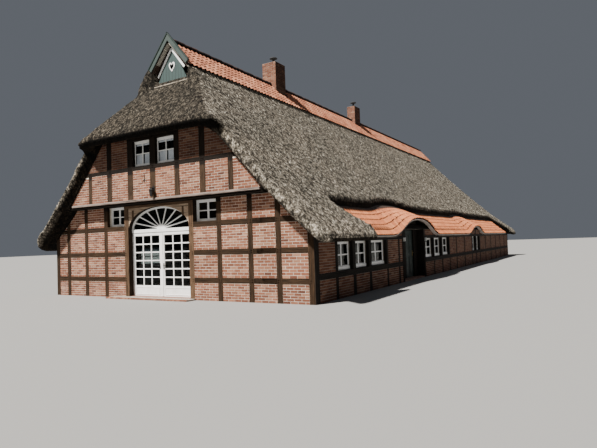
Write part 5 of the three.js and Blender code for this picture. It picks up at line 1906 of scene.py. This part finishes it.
def gate_surround():
    """Posts, spandrel boards and head plate of the gate, with two corner braces."""
    low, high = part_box("gate_frame")
    blocks = Blocks()
    depth = high.y - low.y
    for a, b in ((low.x, GATE_LEFT), (GATE_RIGHT, high.x)):
        middle = ((a + b) / 2, (low.y + high.y) / 2, PLATE_FOOT / 2)
        blocks.add(middle, Z_AXIS, -Y_AXIS, (PLATE_FOOT, b - a, depth))
    plate = ((low.x + high.x) / 2, low.y + depth / 2, (PLATE_FOOT + high.z) / 2)
    blocks.add(plate, X_AXIS, -Y_AXIS, (high.x - low.x, high.z - PLATE_FOOT, depth))
    lay(
        "gate_posts", blocks, TIMBER_BLANK, GATE_OAK, replaces=["gate_frame"],
        chamfer=TIMBER_CHAMFER, wobble=0.006, seed=5,
    )
    front = low.y + SPANDREL_BACK
    steps = 20
    for word, start, edge, seed in (("left", math.pi / 2, GATE_LEFT, 0.35), ("right", 0.0, GATE_RIGHT, 0.7)):
        arc = [arch_point(start + math.pi / 2 * i / steps) for i in range(steps + 1)]
        corners = [(edge, SPANDREL_HEAD), (GATE_CENTRE, SPANDREL_HEAD)]
        outline = arc + (corners if word == "left" else corners[::-1])
        ring = [Vector((x, front, z)) for x, z in outline]
        mesh = mesh_from(f"spandrel_{word}", lambda work: prism(work, ring, Y_AXIS, high.y - front))
        grained(mesh, X_AXIS, -Y_AXIS, seed)
        # The spandrels take the pale oak: painted light.
        piece(f"gate_spandrel_{word}", mesh, SPANDREL_OAK)
    braces = Blocks()
    face = low.y + 0.012
    for x in BRACE_MARKS:
        braces.span((x, face, BRACE_SPAN[0]), (x, face, BRACE_SPAN[1]), -Y_AXIS, 0.075, 0.03)
    lay("gate_braces", braces, BAR_BLANK, GATE_OAK, chamfer=0.012, seed=6)


# Gablet and bargeboards

def heart(x, y, z, width, height, scale=1.0):
    """Outline of a heart, as four curves."""
    curves = (
        ((0, -0.5), (0.3, -0.2), (0.5, 0.0), (0.5, 0.2)),
        ((0.5, 0.2), (0.5, 0.55), (0.08, 0.6), (0, 0.22)),
        ((0, 0.22), (-0.08, 0.6), (-0.5, 0.55), (-0.5, 0.2)),
        ((-0.5, 0.2), (-0.5, 0.0), (-0.3, -0.2), (0, -0.5)),
    )
    steps = 8
    points = []
    for curve in curves:
        for i in range(steps):
            t = i / steps
            weights = ((1 - t) ** 3, 3 * t * (1 - t) ** 2, 3 * t * t * (1 - t), t ** 3)
            px = sum(w * p[0] for w, p in zip(weights, curve))
            pz = sum(w * p[1] for w, p in zip(weights, curve))
            points.append(Vector((x + px * width * scale, y, z + pz * height * scale)))
    return points


def plate_with_hole(work, outline, hole, shift):
    """A board with a cut-out, closed on both faces and round both edges."""
    for offset in (Vector((0, 0, 0)), shift):
        edges = []
        for ring in (outline, hole):
            made = [work.verts.new(p + offset) for p in ring]
            edges += [work.edges.new((v, made[(i + 1) % len(made)])) for i, v in enumerate(made)]
        bmesh.ops.triangle_fill(work, edges=edges, use_beauty=True)
    for ring in (outline, hole):
        for i, start in enumerate(ring):
            end = ring[(i + 1) % len(ring)]
            work.faces.new([work.verts.new(p) for p in (start, end, end + shift, start + shift)])


def gablet_trim():
    """The boarded panel with its heart cut out, white slats on its two sides, and the heart's white rim."""
    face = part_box("gablet_panel")[0].y
    slats = Blocks()
    apex = Vector((0, face - 0.012, TRIM_APEX))
    for x, z in TRIM_FEET:
        slats.span(Vector((x, face - 0.012, z)), apex, -Y_AXIS, TRIM_WIDTH, 0.024)
    lay("gablet_trim", slats, BAR_BLANK, WHITE, chamfer=0.004)
    outline = [Vector((x, face, z)) for x, z in PANEL_CORNERS]
    hole = heart(0, face, HEART_HEIGHT, *HEART_SIZE)
    boards = mesh_from("gablet_boards", lambda work: plate_with_hole(work, outline, hole, Y_AXIS * 0.03))
    piece("gablet_boards", boards, PANEL_BOARDS, replaces=["gablet_panel"])
    outer, inner = (heart(0, face - 0.014, HEART_HEIGHT, *HEART_SIZE, scale) for scale in (HEART_RIM, 1.0))
    mesh = mesh_from("heart_rim", lambda work: prism(work, outer, Y_AXIS, 0.028, inner))
    piece("heart_rim", mesh, WHITE)


def barge_edges():
    """Cap boards on the bargeboards, soffit boards under them, and the cut reed at the gablet's foot."""
    low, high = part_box("bargeboards")
    middle_y = (low.y + high.y) / 2
    caps = Blocks()
    soffits = Blocks()
    for side in (-1, 1):
        foot = Vector((side * high.x, 0, BARGE_FOOT))
        apex = Vector((0, 0, high.z))
        along = (foot - apex).normalized()
        normal = Vector((along.z * side, 0, -along.x * side)).normalized()
        if normal.z > 0:
            normal = -normal
        lift = normal * 0.02 + Y_AXIS * (middle_y - 0.006)
        caps.span(apex + lift, foot + lift, -Y_AXIS, 0.04, high.y - low.y + 0.03)
        top, end = (Vector((side * x, SOFFIT_MIDDLE, z)) for x, z in (SOFFIT_APEX, SOFFIT_FOOT))
        soffits.span(top, end, normal, SOFFIT_WIDTH, 0.02)
    lay("barge_caps", caps, BAR_BLANK, DARK_GREEN, chamfer=0.004)
    lay("barge_beads", soffits, BAR_BLANK, SOFFIT_GREY, chamfer=0.003)
    lip = Blocks()
    for i in range(LIP_PARTS):
        start = LIP_LEFT.lerp(LIP_RIGHT, i / LIP_PARTS)
        end = LIP_LEFT.lerp(LIP_RIGHT, (i + 1) / LIP_PARTS)
        lip.span(start, end, -Y_AXIS, LIP_THICKNESS, LIP_THICKNESS)
    lay("gablet_lip", lip, BAR_BLANK, CUT_REED, chamfer=0.014, wobble=0.01, seed=19)


# Small things

def porch_lamps():
    """Box lamps beside the side door: a glass body, a cap, a foot, a back plate, an arm and corner bars."""
    for name in ("porch_lamp_front", "porch_lamp_rear"):
        low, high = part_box(name)
        middle = (low + high) / 2
        x = middle.x + 0.012
        inner = high.z - low.z - 0.05
        glass = Blocks()
        glass.add((x, middle.y, middle.z - 0.008), Z_AXIS, X_AXIS, (inner, LAMP_BODY, LAMP_BODY))
        metal = Blocks()
        metal.add((x, middle.y, high.z - 0.012), Z_AXIS, X_AXIS, LAMP_CAP)
        metal.add((x, middle.y, low.z + 0.01), Z_AXIS, X_AXIS, LAMP_BASE)
        metal.add((low.x + 0.006, middle.y, middle.z), Z_AXIS, X_AXIS, (high.z - low.z, 0.06, 0.012))
        metal.add((low.x + 0.02, middle.y, high.z - 0.03), X_AXIS, Z_AXIS, (0.04, 0.02, 0.02))
        for dx in (-LAMP_BARS, LAMP_BARS):
            for dy in (-LAMP_BARS, LAMP_BARS):
                metal.add((x + dx, middle.y + dy, middle.z), Z_AXIS, X_AXIS, (inner, 0.007, 0.007))
        lay(f"{name}_glass", glass, BAR_BLANK, LAMP_GLASS, replaces=[name], chamfer=0.008)
        lay(f"{name}_metal", metal, BAR_BLANK, IRON, chamfer=0.002)


def door_panels():
    """Raised mouldings and a handle on the side door."""
    low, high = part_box("porch_door")
    plane = Plane(Y_AXIS, X_AXIS, PORCH_LEAF_OUTER + 0.004)
    blocks = Blocks()
    left = low.y + DOOR_STILE
    right = high.y - DOOR_STILE
    middle = (left + right) / 2
    for foot, head in DOOR_PANELS:
        for a, b in ((left, middle - 0.04), (middle + 0.04, right)):
            rectangle(blocks, plane, a, b, foot, head, PANEL_RIM, 0.02)
            size = (head - foot - PANEL_FIELD_INSET, b - a - PANEL_FIELD_INSET, 0.02)
            blocks.add(plane.point((a + b) / 2, (foot + head) / 2), Z_AXIS, X_AXIS, size)
    lay("door_panels", blocks, BAR_BLANK, DARK_GREEN, "porch_door_leaf", chamfer=0.007)
    lever = Blocks()
    along = high.y - 0.06
    height = DOOR_HANDLE_HEIGHT
    lever.span(plane.point(along, 0.96), plane.point(along, 1.18), X_AXIS, 0.038, 0.008)
    lever.span(plane.point(along, height), plane.point(along, height, 0.05), Z_AXIS, 0.016, 0.016)
    tip = plane.point(along - LEVER, height, 0.046)
    lever.span(plane.point(along, height, 0.046), tip, X_AXIS, 0.018, 0.012)
    lay("door_handle", lever, BAR_BLANK, BRASS, "porch_door_leaf", chamfer=0.003)


def wall_anchor():
    """Forged wall tie on the gable."""
    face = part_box("front_gable_wall")[0].y - 0.008
    blocks = Blocks()
    x, z = ANCHOR
    blocks.span((x, face, z - ANCHOR_HALF), (x, face, z + ANCHOR_HALF), -Y_AXIS, 0.022, 0.018)
    for side in (-1, 1):
        foot = (x + side * ANCHOR_SPREAD, face, z - ANCHOR_DROP)
        blocks.span((x, face, z - 0.01), foot, -Y_AXIS, 0.018, 0.016)
    lay("wall_anchor", blocks, BAR_BLANK, IRON, chamfer=0.005)


def threshold_edge():
    """Bricks on edge along the front of the gate's slab."""
    low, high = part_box("gate_threshold")
    blocks = Blocks()
    count = int((high.x - low.x) / EDGE_BRICK)
    pitch = (high.x - low.x) / count
    y = low.y + EDGE_BRICK_LENGTH / 2 - 0.004
    z = low.z + (high.z - low.z) / 2 + 0.001
    size = (pitch - 0.008, high.z - low.z + 0.004, EDGE_BRICK_LENGTH)
    for i in range(count):
        blocks.add((low.x + pitch * (i + 0.5), y, z), X_AXIS, -Y_AXIS, size)
    lay("threshold_bricks", blocks, BAR_BLANK, BRICK, chamfer=0.004, seed=8)


def dress_nodes():
    """Finishes of the CAD nodes that stay in the picture."""
    finishes = {
        GLASS: [
            "front_glass_left", "front_glass_right", "fanlight_glass", "gate_glass_left", "gate_glass_right",
        ],
        WHITE: [
            "front_window_left", "front_window_right", "gable_window_left", "gable_window_right",
            "fanlight", "gate_leaf_left", "gate_leaf_right",
        ],
        PANEL_BOARDS: ["rear_gablet"],
        PALE_GREEN: ["bargeboards"],
        DARK_GREEN: ["porch_door"],
        IRON: ["gate_lantern"],
        PAVING: ["ground_floor"],
        BOARDS: ["attic_floor"],
        STONE: ["gate_threshold"],
    }
    for finish, names in finishes.items():
        for name in names:
            paint_node(name, finish)


# Camera, lights and stage

def camera():
    data = bpy.data.cameras.new("camera")
    data.sensor_width = SENSOR_WIDTH_MM
    data.lens = FOCAL_LENGTH_PX / PICTURE_WIDTH_PX * SENSOR_WIDTH_MM
    data.clip_end = 500
    eye = linked("camera", data)
    right = Vector(CAMERA_RIGHT).normalized()
    back = -Vector(CAMERA_FORWARD).normalized()
    up = back.cross(right).normalized()
    turn = Matrix((right, up, back)).transposed().to_4x4()
    eye.matrix_world = Matrix.Translation(CAMERA_PLACE) @ turn
    bpy.context.scene.camera = eye


def lights():
    key = bpy.data.lights.new("key", "SUN")
    key.energy = SUN_STRENGTH
    key.angle = math.radians(SUN_DEGREES)
    key.color = SUN_COLOUR
    lamp = linked("key", key)
    lamp.rotation_mode = "QUATERNION"
    lamp.rotation_quaternion = Vector(SUN_TOWARDS).to_track_quat("Z", "Y")
    world = bpy.data.worlds.new("studio")
    world.use_nodes = True
    background = world.node_tree.nodes["Background"]
    background.inputs["Color"].default_value = SKY_COLOUR
    background.inputs["Strength"].default_value = SKY_STRENGTH
    bpy.context.scene.world = world


def stage_floor():
    mesh = bpy.data.meshes.new("floor")
    reach = FLOOR_REACH
    corners = [(-reach, -reach, 0), (reach, -reach, 0), (reach, reach, 0), (-reach, reach, 0)]
    mesh.from_pydata(corners, [], [(0, 1, 2, 3)])
    ground = linked("floor", mesh)
    plain = Finish("pale_floor", 0.9)
    plain.shader.inputs["Base Color"].default_value = FLOOR_COLOUR
    mesh.materials.append(plain.material)


random.seed(7)
camera()
lights()
stage_floor()
dress_walls()
dress_frames()
sill_beam()
corner_boards()
porch_lining()
wall_plates()
thatch()
side_tiles()
ridge_roof()
chimney("chimney_front")
chimney("chimney_rear")
all_windows()
gate_surround()
gate_leaf("left")
gate_leaf("right")
gate_furniture()
fan()
gablet_trim()
barge_edges()
porch_lamps()
door_panels()
wall_anchor()
threshold_edge()
dress_nodes()
